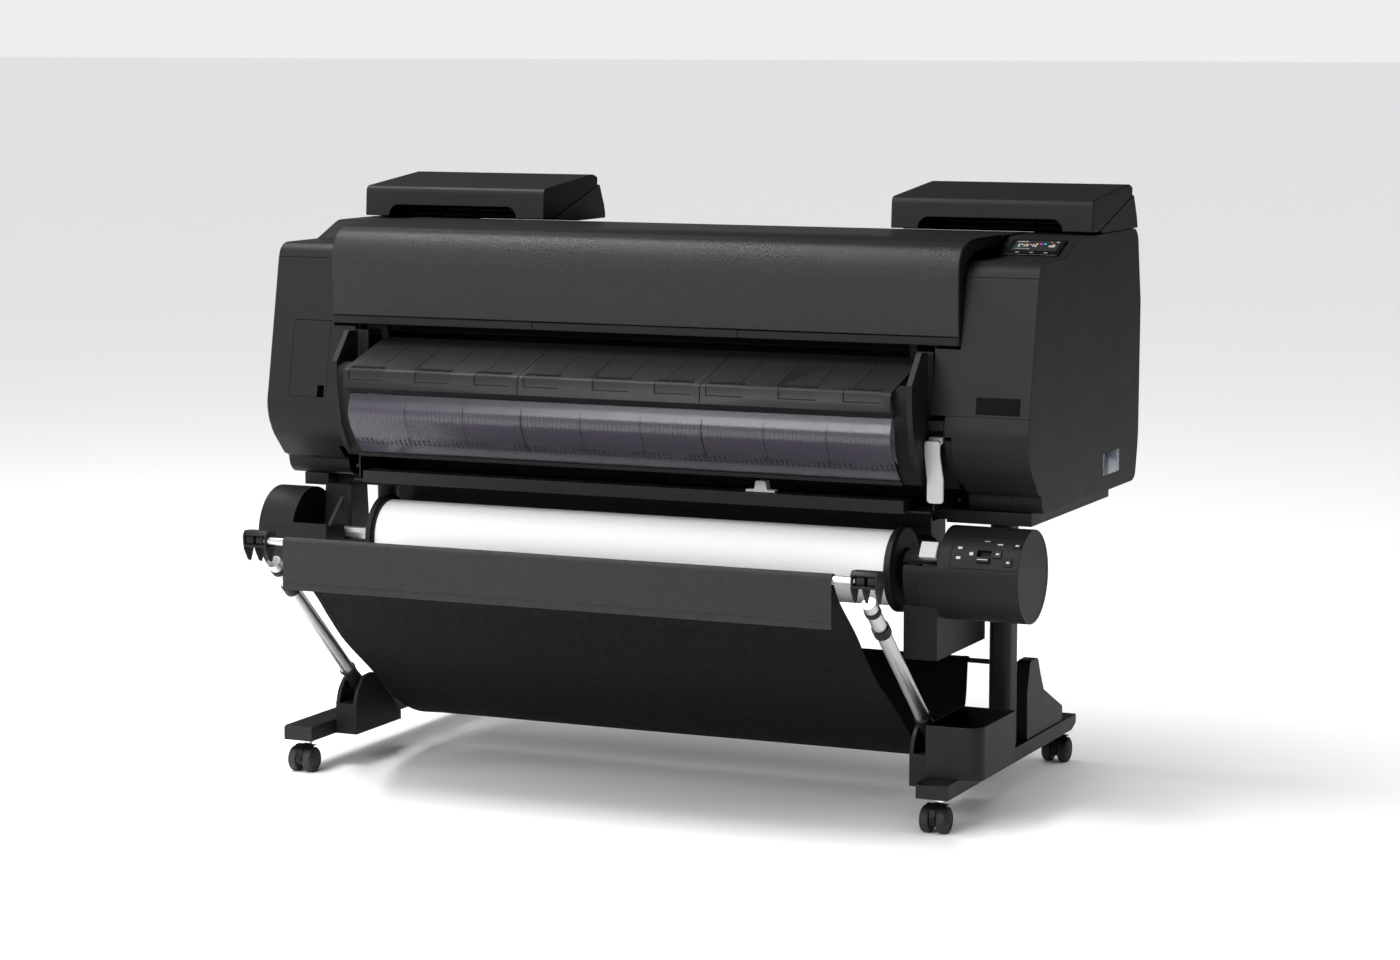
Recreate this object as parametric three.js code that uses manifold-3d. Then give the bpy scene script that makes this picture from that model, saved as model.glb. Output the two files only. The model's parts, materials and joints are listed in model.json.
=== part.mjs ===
// Large format roll plotter on a stand, with a fabric catch basket.
//
// Millimetres, +Z up, +X to the operator's right, -Y towards the operator. The origin is on the
// floor under the middle of the whole machine, with the basket let down in front.
//
// The profiles below are drawn from the front seam of the cabinets, where y is 0, because every
// depth of the machine is read from that face. MIDDLE_DEPTH moves the finished model so that the
// origin is in the middle of its depth.

import * as THREE from 'three';
import { mergeVertices } from 'three/addons/utils/BufferGeometryUtils.js';
import Module from 'manifold-3d';

const wasm = await Module();
wasm.setup();

// ---------------------------------------------------------------- driving dimensions

const MIDDLE_DEPTH = 112;
const GAP = 0.5;
const SKIN = 4;

const CABINET_OUTER_X = 796.5;
const CABINET_INNER_X = 655.6;
const PANEL_INNER_X = 606.5;
const SEAM_Z = 872;

const COVER_HALF_WIDTH = 654.6;
const DECK_Z = 1068;

const ROLL_WIDTH = 1067;
const PAPER_RADIUS = 70;
const CORE_RADIUS = 30;
const SHAFT_RADIUS = 12.5;
const LOWER_AXIS = [-20, 461];
const UPPER_AXIS = [5, 728];

const HOUSING_AXIS = [-15, 460];
const HOUSING_RADIUS = 87;

const FOOT_X = 662;
const FOOT_HALF_WIDTH = 31;
const FOOT_BOTTOM_Z = 65.5;
const FOOT_TOP_Z = 94;
const FOOT_FRONT_Y = -176;
const FOOT_REAR_Y = 571;

const ARM_X = 606;
const ARM_PIVOT = [-30, 156];
const ARM_LEAN = THREE.MathUtils.degToRad(42.4);
const FRONT_ROD = [-392, 494.5];
const FRONT_ROD_RADIUS = 7;
const REAR_ROD = [318, 234];

const WHEEL_RADIUS = 25;
const CASTER_TRAIL = 15;
const CASTER_WHEEL_Y = [-151, 546];

// ---------------------------------------------------------------- materials

function material(color, roughness, metalness = 0) {
  return new THREE.MeshStandardMaterial({ color, roughness, metalness });
}

const CASE = material(0x2b2b2d, 0.55);
const DARK = material(0x141415, 0.6);
const FRAME_STEEL = material(0x1c1c1e, 0.5, 0.3);
const SMOKED = material(0x504c56, 0.2);
const LIGHT_GREY = material(0xb9bbbd, 0.45);
const SILVER = material(0xa9abad, 0.3, 0.9);
const CHROME = material(0xd0d2d4, 0.15, 1);
const PAPER = material(0xf4f4f2, 0.9);
const FABRIC = material(0x17171a, 0.95);
const RUBBER = material(0x1a1a1a, 0.8);

// ---------------------------------------------------------------- solids

// A three.js geometry as a manifold solid.
function solid(geometry) {
  const bare = geometry.clone();
  bare.deleteAttribute('normal');
  bare.deleteAttribute('uv');
  const merged = mergeVertices(bare, 1e-4);
  const vertProperties = new Float32Array(merged.attributes.position.array);
  const triVerts = new Uint32Array(merged.index.array);
  return new wasm.Manifold(new wasm.Mesh({ numProp: 3, vertProperties, triVerts }));
}

// A manifold solid as a three.js geometry.
function surface(body) {
  const mesh = body.getMesh();
  const geometry = new THREE.BufferGeometry();
  geometry.setAttribute('position', new THREE.BufferAttribute(mesh.vertProperties, 3));
  geometry.setIndex(new THREE.BufferAttribute(mesh.triVerts, 1));
  return geometry;
}

function join(...pieces) {
  return surface(pieces.map(solid).reduce((sum, piece) => sum.add(piece)));
}

function cut(body, ...tools) {
  return surface(tools.map(solid).reduce((rest, tool) => rest.subtract(tool), solid(body)));
}

function common(first, second) {
  return surface(solid(first).intersect(solid(second)));
}

// ---------------------------------------------------------------- shapes

// A closed outline through corners [u, v, round]. A corner with a round is cut back by that
// length along both of its edges and bridged by a curve.
function outline(corners) {
  const shape = new THREE.Shape();
  const count = corners.length;
  corners.forEach((corner, index) => {
    const here = new THREE.Vector2(corner[0], corner[1]);
    const round = corner[2] ?? 0;
    const before = new THREE.Vector2(...corners[(index + count - 1) % count].slice(0, 2));
    const after = new THREE.Vector2(...corners[(index + 1) % count].slice(0, 2));
    const enter = before.sub(here).setLength(round).add(here);
    const leave = after.sub(here).setLength(round).add(here);
    if (index === 0) {
      shape.moveTo(enter.x, enter.y);
    } else {
      shape.lineTo(enter.x, enter.y);
    }
    if (round > 0) {
      shape.quadraticCurveTo(here.x, here.y, leave.x, leave.y);
    }
  });
  return shape;
}

// The corners of an outline moved inwards, with rounds half as long.
function inset(corners, amount) {
  const count = corners.length;
  const points = corners.map(([u, v]) => new THREE.Vector2(u, v));
  const turn = Math.sign(THREE.ShapeUtils.area(points));
  return corners.map((corner, index) => {
    const here = points[index];
    const into = here.clone().sub(points[(index + count - 1) % count]).normalize();
    const out = points[(index + 1) % count].clone().sub(here).normalize();
    const normal = new THREE.Vector2(-into.y - out.y, into.x + out.x).multiplyScalar(turn);
    const reach = amount / Math.max(0.25, normal.length() / 2);
    const moved = here.clone().add(normal.setLength(Math.abs(reach)).multiplyScalar(Math.sign(reach)));
    return [moved.x, moved.y, (corner[2] ?? 0) / 2];
  });
}

// The corners of a sheet of even thickness that follows a line of [u, v] points.
function sheet(line, thickness) {
  const points = line.map(([u, v]) => new THREE.Vector2(u, v));
  const back = points.map((point, index) => {
    const from = points[Math.max(0, index - 1)];
    const to = points[Math.min(points.length - 1, index + 1)];
    const along = to.clone().sub(from).normalize();
    return [point.x - along.y * thickness, point.y + along.x * thickness];
  });
  return [...line, ...back.reverse()];
}

// Points on a smooth curve through [u, v] points.
function smooth(line, steps) {
  const curve = new THREE.SplineCurve(line.map(([u, v]) => new THREE.Vector2(u, v)));
  return curve.getPoints(steps).map((point) => [point.x, point.y]);
}

const TO_X = new THREE.Matrix4().set(0, 0, 1, 0, 1, 0, 0, 0, 0, 1, 0, 0, 0, 0, 0, 1);
const TO_Y = new THREE.Matrix4().set(1, 0, 0, 0, 0, 0, -1, 0, 0, 1, 0, 0, 0, 0, 0, 1);

// An outline in (y, z), (x, z) or (x, y) drawn out along the axis that is left.
function prism(axis, corners, [from, to], segments = 4) {
  const settings = { depth: to - from, bevelEnabled: false, curveSegments: segments };
  const geometry = new THREE.ExtrudeGeometry(outline(corners), settings);
  if (axis === 'y') {
    return geometry.translate(0, 0, -to).applyMatrix4(TO_Y);
  }
  geometry.translate(0, 0, from);
  return axis === 'x' ? geometry.applyMatrix4(TO_X) : geometry;
}

function box([x0, x1], [y0, y1], [z0, z1]) {
  const geometry = new THREE.BoxGeometry(x1 - x0, y1 - y0, z1 - z0);
  return geometry.translate((x0 + x1) / 2, (y0 + y1) / 2, (z0 + z1) / 2);
}

// A round bar along X at [y, z].
function barX(radius, [from, to], [y, z], segments = 24) {
  const geometry = new THREE.CylinderGeometry(radius, radius, to - from, segments);
  return geometry.rotateZ(-Math.PI / 2).translate((from + to) / 2, y, z);
}

// A round bar along Z at [x, y].
function barZ(radius, [from, to], [x, y], segments = 20) {
  const geometry = new THREE.CylinderGeometry(radius, radius, to - from, segments);
  return geometry.rotateX(Math.PI / 2).translate(x, y, (from + to) / 2);
}

// A turned piece around X at [y, z], from a closed profile of [radius, x] points in either order.
function turnedX(profile, [y, z], segments = 32) {
  const points = profile.map(([radius, x]) => new THREE.Vector2(radius, x));
  if (THREE.ShapeUtils.isClockWise(points)) {
    points.reverse();
  }
  const geometry = new THREE.LatheGeometry([...points, points[0]], segments);
  return geometry.rotateZ(-Math.PI / 2).translate(0, y, z);
}

// The same stretch of X on the left (-1) or the right (1) of the machine.
function across(side, inner, outer) {
  return side > 0 ? [inner, outer] : [-outer, -inner];
}

const machine = new THREE.Group();
machine.position.y = -MIDDLE_DEPTH;

function add(name, geometry, finish) {
  const mesh = new THREE.Mesh(geometry, finish);
  mesh.name = name;
  machine.add(mesh);
}

const SIDES = [['left', -1], ['right', 1]];

// ---------------------------------------------------------------- cabinets

const FRONT_FACE = [
  [10, 608], [-32, 652, 12], [-50, 686, 14], [-54, 718, 12], [-47, 751, 12], [-17, 913, 30],
  [0, 1003, 8],
];

const CABINET_OUTLINE = [
  ...FRONT_FACE, [6, 1019, 8], [22, 1031, 9], [150, 1031, 5], [236, 1065, 10], [588, 1065, 10],
  [606, 1050, 11], [614, 999, 14], [628, 921], [625, 650, 30], [608, 575, 10], [590, 567, 8],
  [46, 567, 8], [32, 580, 8], [27, 602, 4],
];

const MAINTENANCE_Z = [622, 751.5];
const MAINTENANCE_INNER_X = 634;
const MAINTENANCE_STEP_X = 648;
const MAINTENANCE_STEP_Z = 712;
const SERVICE_DOOR_X = [-745, -662];
const SERVICE_DOOR_Z = [731, 880];
const SERVICE_DOOR_TOP_GAP = 1.2;
const KEY_X = [697, 727, 757];
const KEY_Y = 141;
const KEY_RADIUS = 6;
const KEY_TOP_Z = 1032.2;

// The wall of a cabinet, without its ends, over any stretch of X.
function cabinetWall(stretch) {
  return cut(
    prism('x', CABINET_OUTLINE, stretch),
    prism('x', inset(CABINET_OUTLINE, SKIN), [stretch[0] - 1, stretch[1] + 1]),
  );
}

// The front skin of a cabinet, over stretches of X and Z.
function frontSkin(stretch, height) {
  return common(cabinetWall(stretch), box([stretch[0] - 1, stretch[1] + 1], [-80, 30], height));
}

function cabinet(side, panelBottomZ) {
  const hollow = prism(
    'x', inset(CABINET_OUTLINE, SKIN),
    across(side, CABINET_INNER_X - SKIN, CABINET_OUTER_X - SKIN),
  );
  const shell = cut(
    prism('x', CABINET_OUTLINE, across(side, CABINET_INNER_X, CABINET_OUTER_X)),
    hollow,
  );
  const panel = frontSkin(across(side, PANEL_INNER_X, CABINET_INNER_X + SKIN), [panelBottomZ, SEAM_Z]);
  return join(shell, panel);
}

// The room of the maintenance cover: the front skin and a short return on the outer side. The
// return tapers out at the bottom, so that its rear corner clears the cabinet as the cover falls.
const RETURN_DEPTH = 10;

function maintenanceRoom(slack) {
  const behind = FRONT_FACE.slice(0, 6).map(
    ([y, z], index) => [y + slack + (index > 0 ? RETURN_DEPTH : 0), z],
  );
  const room = prism(
    'x', [...FRONT_FACE.slice(0, 6).map(([y, z]) => [y - 1, z]), ...behind.reverse()],
    [CABINET_OUTER_X - SKIN - slack, CABINET_OUTER_X + 1],
  );
  const left = MAINTENANCE_INNER_X - slack;
  const lowZ = MAINTENANCE_Z[0] - slack;
  const highZ = MAINTENANCE_Z[1] + slack;
  const right = CABINET_OUTER_X + 1;
  const upper = box([left, right], [-80, 40], [MAINTENANCE_STEP_Z, highZ]);
  const lower = box([MAINTENANCE_STEP_X - slack, right], [-80, 40], [lowZ, MAINTENANCE_STEP_Z + 1]);
  const front = box([left, CABINET_OUTER_X - SKIN], [-80, 40], [lowZ, highZ]);
  return common(join(upper, lower), join(room, front));
}

function rightCabinet() {
  const keyHoles = KEY_X.map((x) => barZ(KEY_RADIUS + GAP, [1020, 1040], [x, KEY_Y], 16));
  return cut(cabinet(1, MAINTENANCE_Z[1] + GAP), maintenanceRoom(GAP), ...keyHoles);
}

function leftCabinet() {
  const doorway = box(
    [SERVICE_DOOR_X[0] - GAP, SERVICE_DOOR_X[1] + GAP], [-60, 0],
    [SERVICE_DOOR_Z[0] - GAP, SERVICE_DOOR_Z[1] + SERVICE_DOOR_TOP_GAP],
  );
  return cut(cabinet(-1, 630), doorway);
}

function maintenanceCover() {
  const whole = cut(
    prism('x', CABINET_OUTLINE, [MAINTENANCE_INNER_X, CABINET_OUTER_X]),
    prism('x', inset(CABINET_OUTLINE, SKIN), [MAINTENANCE_INNER_X - 1, CABINET_OUTER_X - SKIN]),
  );
  return common(whole, maintenanceRoom(0));
}

function serviceDoor() {
  const panel = frontSkin(SERVICE_DOOR_X, SERVICE_DOOR_Z);
  const fingerNotch = box([-682, -667], [-60, 0], [730, 754]);
  return cut(panel, fingerNotch);
}

add('left_cabinet', leftCabinet(), CASE);
add('right_cabinet', rightCabinet(), CASE);
add('maintenance_cover', maintenanceCover(), CASE);
add('left_service_door', serviceDoor(), CASE);

KEY_X.forEach((x, index) => {
  const cap = barZ(KEY_RADIUS, [KEY_TOP_Z - 6, KEY_TOP_Z], [x, KEY_Y], 16);
  add(`panel_key_${index + 1}`, cap, DARK);
});

// The touch screen lies on the sloping part of the right cabinet.
const SCREEN_HALF_WIDTH = 53;
const SCREEN_X = 725;
const SLOPE_START = [150, 1031];
const SLOPE_ANGLE = Math.atan2(1065 - 1031, 236 - 150);

function displayPanel() {
  const slab = box([-SCREEN_HALF_WIDTH, SCREEN_HALF_WIDTH], [8, 74], [GAP, 3]);
  return slab.rotateX(SLOPE_ANGLE).translate(SCREEN_X, SLOPE_START[0], SLOPE_START[1]);
}

add('display_panel', displayPanel(), DARK);

// ---------------------------------------------------------------- rear cover and deck

const REAR_Y = [596, 600];
const VENT_COUNT = 9;
const VENT_PITCH = 60;

function rearCover() {
  const sheetMetal = box([-COVER_HALF_WIDTH, COVER_HALF_WIDTH], REAR_Y, [570, 1046]);
  const vents = Array.from({ length: VENT_COUNT }, (_, index) => {
    const x = (index - (VENT_COUNT - 1) / 2) * VENT_PITCH;
    return box([x - 22, x + 22], [590, 606], [900, 908]);
  });
  const socketFrame = box([560, 620], [590, 606], [600, 646]);
  const socket = box([570, 610], [594, 610], [608, 638]);
  return cut(join(sheetMetal, socketFrame), socket, ...vents);
}

const DECK_FRONT_Y = 208;
const DECK_OUTLINE = [
  [DECK_FRONT_Y, DECK_Z], [330, DECK_Z], [600, 1052], [600, 1047], [330, DECK_Z - 5],
  [DECK_FRONT_Y, DECK_Z - 5],
];

add('rear_cover', rearCover(), FRAME_STEEL);
add('top_deck', prism('x', DECK_OUTLINE, [-COVER_HALF_WIDTH, COVER_HALF_WIDTH]), CASE);

// ---------------------------------------------------------------- ink bays and their covers

const INK_SIDES = { left: [-772, -362], right: [388, 795] };
const INK_COVER_OUTLINE = [
  [314, 1070.5], [318, 1131, 12], [548, 1153, 10], [568, 1146, 4], [567, 1130], [359, 1070.5],
];
const INK_BAY_OUTLINE = [
  [366, 1071], [569.5, 1129], [577, 1131, 4], [599, 1087], [604, 1070], [604, 1060], [400, 1060],
];
const INK_HANDLES = { left: [-717, -425], right: [444, 735] };
const INK_TANK_COUNT = 6;

function inkCover(name) {
  const [left, right] = INK_SIDES[name];
  const outer = prism('x', INK_COVER_OUTLINE, [left, right]);
  const inner = prism('x', [
    [318, 1068], [322, 1127, 9], [548, 1149, 8], [563, 1143], [563, 1132], [356, 1068],
  ], [left + SKIN, right - SKIN]);
  const [slotLeft, slotRight] = INK_HANDLES[name];
  const slot = prism('y', [
    [slotLeft, 1069], [slotRight, 1069], [slotRight, 1081, 10], [slotRight - 14, 1093, 6],
    [slotLeft + 14, 1093, 6], [slotLeft, 1081, 10],
  ], [300, 330]);
  return cut(outer, inner, slot);
}

// The bay carries a row of ink tanks, whose tops stand up under the cover.
function inkBay(name) {
  const [left, right] = INK_SIDES[name];
  const block = prism('x', INK_BAY_OUTLINE, [left, right]);
  const pocket = prism('x', [[374, 1080], [600, 1146], [566, 1080]], [left + 10, right - 10]);
  const pitch = (right - left - 32) / INK_TANK_COUNT;
  const tanks = Array.from({ length: INK_TANK_COUNT }, (_, index) => {
    const x = left + 16 + index * pitch;
    return prism('x', [[400, 1075], [400, 1083], [552, 1122], [552, 1075]], [x + 3, x + pitch - 3]);
  });
  const underDeck = prism('x', [
    [300, 1069], [330, 1068.5], [610, 1052], [610, 1000], [300, 1000],
  ], [-660, 660]);
  const cabinets = SIDES.map(([, side]) => box(across(side, 655, 800), [300, 620], [1000, 1065.5]));
  return cut(join(cut(block, pocket), ...tanks), underDeck, ...cabinets);
}

for (const [name] of SIDES) {
  add(`${name}_ink_cover`, inkCover(name), CASE);
  add(`${name}_ink_bay`, inkBay(name), DARK);
}

// ---------------------------------------------------------------- top cover

const TOP_COVER_FACE = [
  [-31, 878], [-33.5, 1005, 14], [-29, 1032, 12], [-14, 1055, 12], [22, 1067, 14], [61, 1071, 14],
  [203, 1070],
];
const TOP_COVER_LINING = [
  [-27, 870], [-29.5, 1003], [-25, 1030], [-10, 1051], [22, 1063], [61, 1067], [199, 1066],
];

function topCover() {
  const edge = [[203, 1048], [40, 1044], [6, 1028], [-3, 1000], [-3, 878]];
  const outer = prism('x', [...TOP_COVER_FACE, ...edge], [-COVER_HALF_WIDTH, COVER_HALF_WIDTH]);
  const inner = prism('x', [
    ...TOP_COVER_LINING, [199, 1040], [40, 1036], [10, 1024], [5, 1000], [5, 870],
  ], [-COVER_HALF_WIDTH + SKIN, COVER_HALF_WIDTH - SKIN]);
  return cut(outer, inner);
}

add('top_cover', topCover(), CASE);

// ---------------------------------------------------------------- roll bay

const BAY_HALF_WIDTH = 605.5;
const BAY_FLOOR_Z = 568;
const LEVER_PIVOT = [-44, 706];

const CHEEK_FACE = [[20, 612], [-4, 646], [-22, 680], [-30, 706], [-30, 742]];
const CHEEK_STEP = 20;

function rollBayFrame() {
  const pieces = [
    box([-574, 560], [-60, -20], [BAY_FLOOR_Z, 592]),
    box([-BAY_HALF_WIDTH, BAY_HALF_WIDTH], [-40, 150], [BAY_FLOOR_Z, BAY_FLOOR_Z + SKIN]),
    box([-BAY_HALF_WIDTH, BAY_HALF_WIDTH], [146, 150], [BAY_FLOOR_Z, 846]),
  ];
  for (const [, side] of SIDES) {
    const plate = [
      [-34, 742], [-34, 866], [-30, 866], [-30, 850], [-14, 850], [-14, 912], [14, 912], [14, 850],
      [150, 850], [150, BAY_FLOOR_Z], [-20, BAY_FLOOR_Z], [-20, 742],
    ];
    pieces.push(prism('x', plate, across(side, BAY_HALF_WIDTH - SKIN, BAY_HALF_WIDTH)));
    pieces.push(box(across(side, 573, BAY_HALF_WIDTH), [-34, -29.5], [736, 866]));
    const outer = side > 0 ? MAINTENANCE_INNER_X - 1 : PANEL_INNER_X - 1;
    pieces.push(prism('x', [...CHEEK_FACE, [30, 742], [30, 612]], across(side, 566, outer)));
  }
  const leverFace = CHEEK_FACE.map(([y, z]) => [y - CHEEK_STEP, z]);
  const besideCover = [...leverFace.slice(0, 4), [30, 706], [30, 612]];
  const aboveLever = [...leverFace.slice(3), [30, 742], [30, 706]];
  pieces.push(prism('x', besideCover, [601.5, MAINTENANCE_STEP_X - 1.5]));
  pieces.push(prism('x', aboveLever, [601.5, MAINTENANCE_INNER_X - 1]));
  const leverPocket = box([600, 634], [-60, -28], [630, 724]);
  const bearings = barX(SHAFT_RADIUS + 1.5, [-600, 600], UPPER_AXIS);
  const mouths = box([-600, 600], [UPPER_AXIS[0] - 14, UPPER_AXIS[0] + 14], [UPPER_AXIS[1], 760]);
  return cut(join(...pieces), leverPocket, bearings, mouths);
}

// The pull-down lever that lifts the pinch rollers: a flat blade that hangs in front of its recess.
function releaseLever() {
  const bladeY = [-65, -59];
  const blade = prism('y', [
    [601, 706, 4], [630, 706, 4], [630, 680, 12], [638, 630, 12], [638, 592, 4], [607, 592, 4],
    [607, 630, 12], [601, 680, 12],
  ], bladeY);
  const neck = box([604, 628], [-63, -40], [698, 706]);
  const boss = barX(6, [604, 630], LEVER_PIVOT, 16);
  return join(blade, neck, boss);
}

// A small slider on the front beam, with a raised finger grip.
function slideLever() {
  return prism('y', [
    [241, 592.5], [300, 592.5], [300, 597], [284, 597, 3], [281, 614, 3], [261, 614, 3],
    [258, 597, 3], [241, 597],
  ], [-52, -34]);
}

add('roll_bay_frame', rollBayFrame(), FRAME_STEEL);
add('release_lever', releaseLever(), LIGHT_GREY);
add('slide_lever', slideLever(), LIGHT_GREY);

// ---------------------------------------------------------------- roll cover

const ROLL_COVER_PIVOT = [0, 900];

function rollCover() {
  const topLine = [[20, 849], [-30, 834], [-140, 801], [-147, 796], [-147, 764], [-128, 752]];
  const top = prism('x', sheet(topLine, SKIN), [-566, 566]);
  const foot = box([-566, 566], [-84, -70], [624, 631]);
  const pieces = [top, foot];
  for (const [, side] of SIDES) {
    const cheek = [
      [-129, 813], [-128, 769], [-113, 686], [-90, 645], [-70, 624], [-46, 624], [-46, 800],
      [-46, 866], [-80, 868],
    ];
    pieces.push(prism('x', cheek, across(side, 590, 600.4)));
    const rim = [
      [-126, 803], [-126, 769], [-111, 686], [-88, 645], [-70, 624], [-56, 624], [-90, 686],
      [-104, 810],
    ];
    pieces.push(prism('x', rim, across(side, 563, 591)));
    const link = [[-9, 899, 6], [0, 909, 6], [9, 899, 6], [22, 849], [10, 842], [2, 849]];
    pieces.push(prism('x', link, across(side, 548, 563)));
    pieces.push(barX(4, across(side, 562, 600), ROLL_COVER_PIVOT, 12));
  }
  return join(...pieces);
}

function rollCoverWindow() {
  const face = smooth([[-126, 751.5], [-138, 713], [-119, 673], [-82, 632]], 9);
  return prism('x', sheet(face, 3), [-562, 562]);
}

add('roll_cover', rollCover(), CASE);
add('roll_cover_window', rollCoverWindow(), SMOKED);

// ---------------------------------------------------------------- print engine

const FEED_ROLLER_AXIS = [168, 874];

function platen() {
  const bed = prism('x', [[30, 862], [50, 884], [152, 884], [152, 874], [54, 874], [36, 858]], [-640, 640]);
  const ears = SIDES.map(([, side]) => box(across(side, 622, 630), [148, 184], [860, 886]));
  const bores = barX(5.5, [-650, 650], FEED_ROLLER_AXIS, 12);
  return cut(join(bed, ...ears), bores);
}

function feedRoller() {
  return join(barX(11, [-618, 618], FEED_ROLLER_AXIS), barX(5, [-634, 634], FEED_ROLLER_AXIS, 12));
}

function printCarriage() {
  return prism('x', [
    [60, 902, 8], [60, 1010, 20], [180, 1010, 8], [180, 985], [192, 985], [192, 974], [180, 974],
    [180, 902], [170, 887.5], [80, 887.5],
  ], [656, 784]);
}

add('platen', platen(), DARK);
add('feed_roller', feedRoller(), SILVER);
add('carriage_rail', prism('x', [
  [196, 892], [226, 892], [226, 1020], [222, 1020], [222, 896], [200, 896], [200, 970],
  [182, 970], [182, 964], [196, 964],
], [-786, 786]), FRAME_STEEL);
add('print_carriage', printCarriage(), DARK);

// ---------------------------------------------------------------- rolls

const SHAFT_BORE = SHAFT_RADIUS + GAP;

function paperRoll() {
  const half = ROLL_WIDTH / 2;
  return turnedX([
    [CORE_RADIUS, -half], [PAPER_RADIUS, -half], [PAPER_RADIUS, half], [CORE_RADIUS, half],
  ], LOWER_AXIS, 64);
}

// A flange has a rim against the paper and a hub that fits the core.
function flange(side) {
  const inner = ROLL_WIDTH / 2 + GAP;
  const profile = [
    [SHAFT_BORE, inner - 24], [CORE_RADIUS - GAP, inner - 24], [CORE_RADIUS - GAP, inner], [76, inner],
    [81, inner + 4], [81, inner + 14], [74, inner + 18], [40, inner + 18], [36, inner + 22],
    [SHAFT_BORE, inner + 22],
  ];
  return turnedX(profile.map(([radius, x]) => [radius, side * x]), LOWER_AXIS, 48);
}

// The upper roll lies in its bay as a whole: paper, flanges and shaft turn together.
function upperRoll() {
  const half = ROLL_WIDTH / 2;
  const profile = [
    [0, -598], [SHAFT_RADIUS, -598], [SHAFT_RADIUS, -half - 20], [78, -half - 20], [78, -half],
    [PAPER_RADIUS, -half], [PAPER_RADIUS, half], [78, half], [78, half + 20],
    [SHAFT_RADIUS, half + 20], [SHAFT_RADIUS, 598], [0, 598],
  ];
  const points = profile.map(([radius, x]) => new THREE.Vector2(radius, x));
  const turned = new THREE.LatheGeometry(points, 32);
  return turned.rotateZ(-Math.PI / 2).translate(0, ...UPPER_AXIS);
}

add('paper_roll', paperRoll(), PAPER);
add('left_flange', flange(-1), DARK);
add('right_flange', flange(1), DARK);
add('spool_shaft', barX(SHAFT_RADIUS, [-658, 596], LOWER_AXIS), SILVER);
add('upper_roll', upperRoll(), PAPER);

// ---------------------------------------------------------------- roll unit housings

// Moves a piece from the drum's own frame, with z outwards, to an angle up its front.
function onDrum(geometry, degrees) {
  geometry.rotateX(Math.PI / 2 - THREE.MathUtils.degToRad(degrees));
  return geometry.translate(0, ...HOUSING_AXIS);
}

const SWITCH_X = [714.5, 739.5];
const SWITCH_ANGLE = 30;
const SWITCH_TRAVEL = 14;
const DRUM_KEYS = {
  load_key: { x: [745.5, 760.5], half: 7.5, degrees: 33.9 },
  up_key: { x: [779, 793], half: 5.5, degrees: 47 },
  down_key: { x: [768, 782], half: 7, degrees: 24.1 },
};
const KEY_STANDS = 1.5;
const KEY_DEPTH = 7;

function drumBlock([x0, x1], half, [low, high], degrees) {
  return onDrum(box([x0, x1], [-half, half], [low, high]), degrees);
}

function lockLeverPad([low, high], [from, to], stretch) {
  const corners = [];
  const steps = 5;
  for (let step = 0; step <= steps; step += 1) {
    const angle = THREE.MathUtils.degToRad(from + (to - from) * step / steps);
    corners.push([HOUSING_AXIS[0] - Math.cos(angle) * high, HOUSING_AXIS[1] + Math.sin(angle) * high]);
  }
  for (let step = steps; step >= 0; step -= 1) {
    const angle = THREE.MathUtils.degToRad(from + (to - from) * step / steps);
    corners.push([HOUSING_AXIS[0] - Math.cos(angle) * low, HOUSING_AXIS[1] + Math.sin(angle) * low]);
  }
  return prism('x', corners, stretch);
}

function rightRollHousing() {
  const drum = barX(HOUSING_RADIUS, [604, 796], HOUSING_AXIS, 64);
  const inner = barX(HOUSING_RADIUS - 3, [574, 606], HOUSING_AXIS, 64);
  const arm = box([569, 635], [-80, 184], [303, 403]);
  const neck = box([600, 660], [20, 184], [380, 470]);
  const recess = box([560, 634], [-120, 100], [480, 560]);
  const leverRoom = lockLeverPad([56, 100], [14, 120], [600, 640]);
  const bore = barX(SHAFT_RADIUS + 1.5, [560, 600], LOWER_AXIS);
  const mouth = box([560, 600], [LOWER_AXIS[0] - 14, LOWER_AXIS[0] + 14], [LOWER_AXIS[1], 520]);
  const keyRooms = Object.values(DRUM_KEYS).map(({ x, half, degrees }) => drumBlock(
    [x[0] - GAP, x[1] + GAP], half + GAP, [HOUSING_RADIUS - KEY_DEPTH - 3, 100], degrees,
  ));
  const switchRoom = drumBlock(
    [SWITCH_X[0] - GAP, SWITCH_X[1] + GAP], 5 + SWITCH_TRAVEL / 2 + GAP, [76, 100], SWITCH_ANGLE,
  );
  return cut(join(drum, inner, arm, neck), recess, leverRoom, bore, mouth, ...keyRooms, switchRoom);
}

function leftRollHousing() {
  const drum = barX(HOUSING_RADIUS, [-789, -712], HOUSING_AXIS, 64);
  const trough = prism('x', [
    [-107, 400, 10], [-107, 486], [-96, 486], [-40, 440], [20, 440], [36, 548], [60, 548],
    [72, 400, 20], [-20, 374, 40],
  ], [-714, -632]);
  const cheek = prism('x', [[-92, 480], [-16, 551], [60, 551], [60, 430], [-60, 430]], [-640, -632]);
  const neck = box([-684, -632], [40, 184], [400, 470]);
  const slot = box([-664, -620], [LOWER_AXIS[0] - 14.5, LOWER_AXIS[0] + 14.5], [447, 600]);
  return cut(join(drum, trough, cheek, neck), slot);
}

// A slider that follows the tangent of the drum, from its lower stop.
function driveSwitch() {
  const knob = box(SWITCH_X, [-5 - SWITCH_TRAVEL / 2, 5 - SWITCH_TRAVEL / 2], [78, 92]);
  return onDrum(knob, SWITCH_ANGLE);
}

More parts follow.
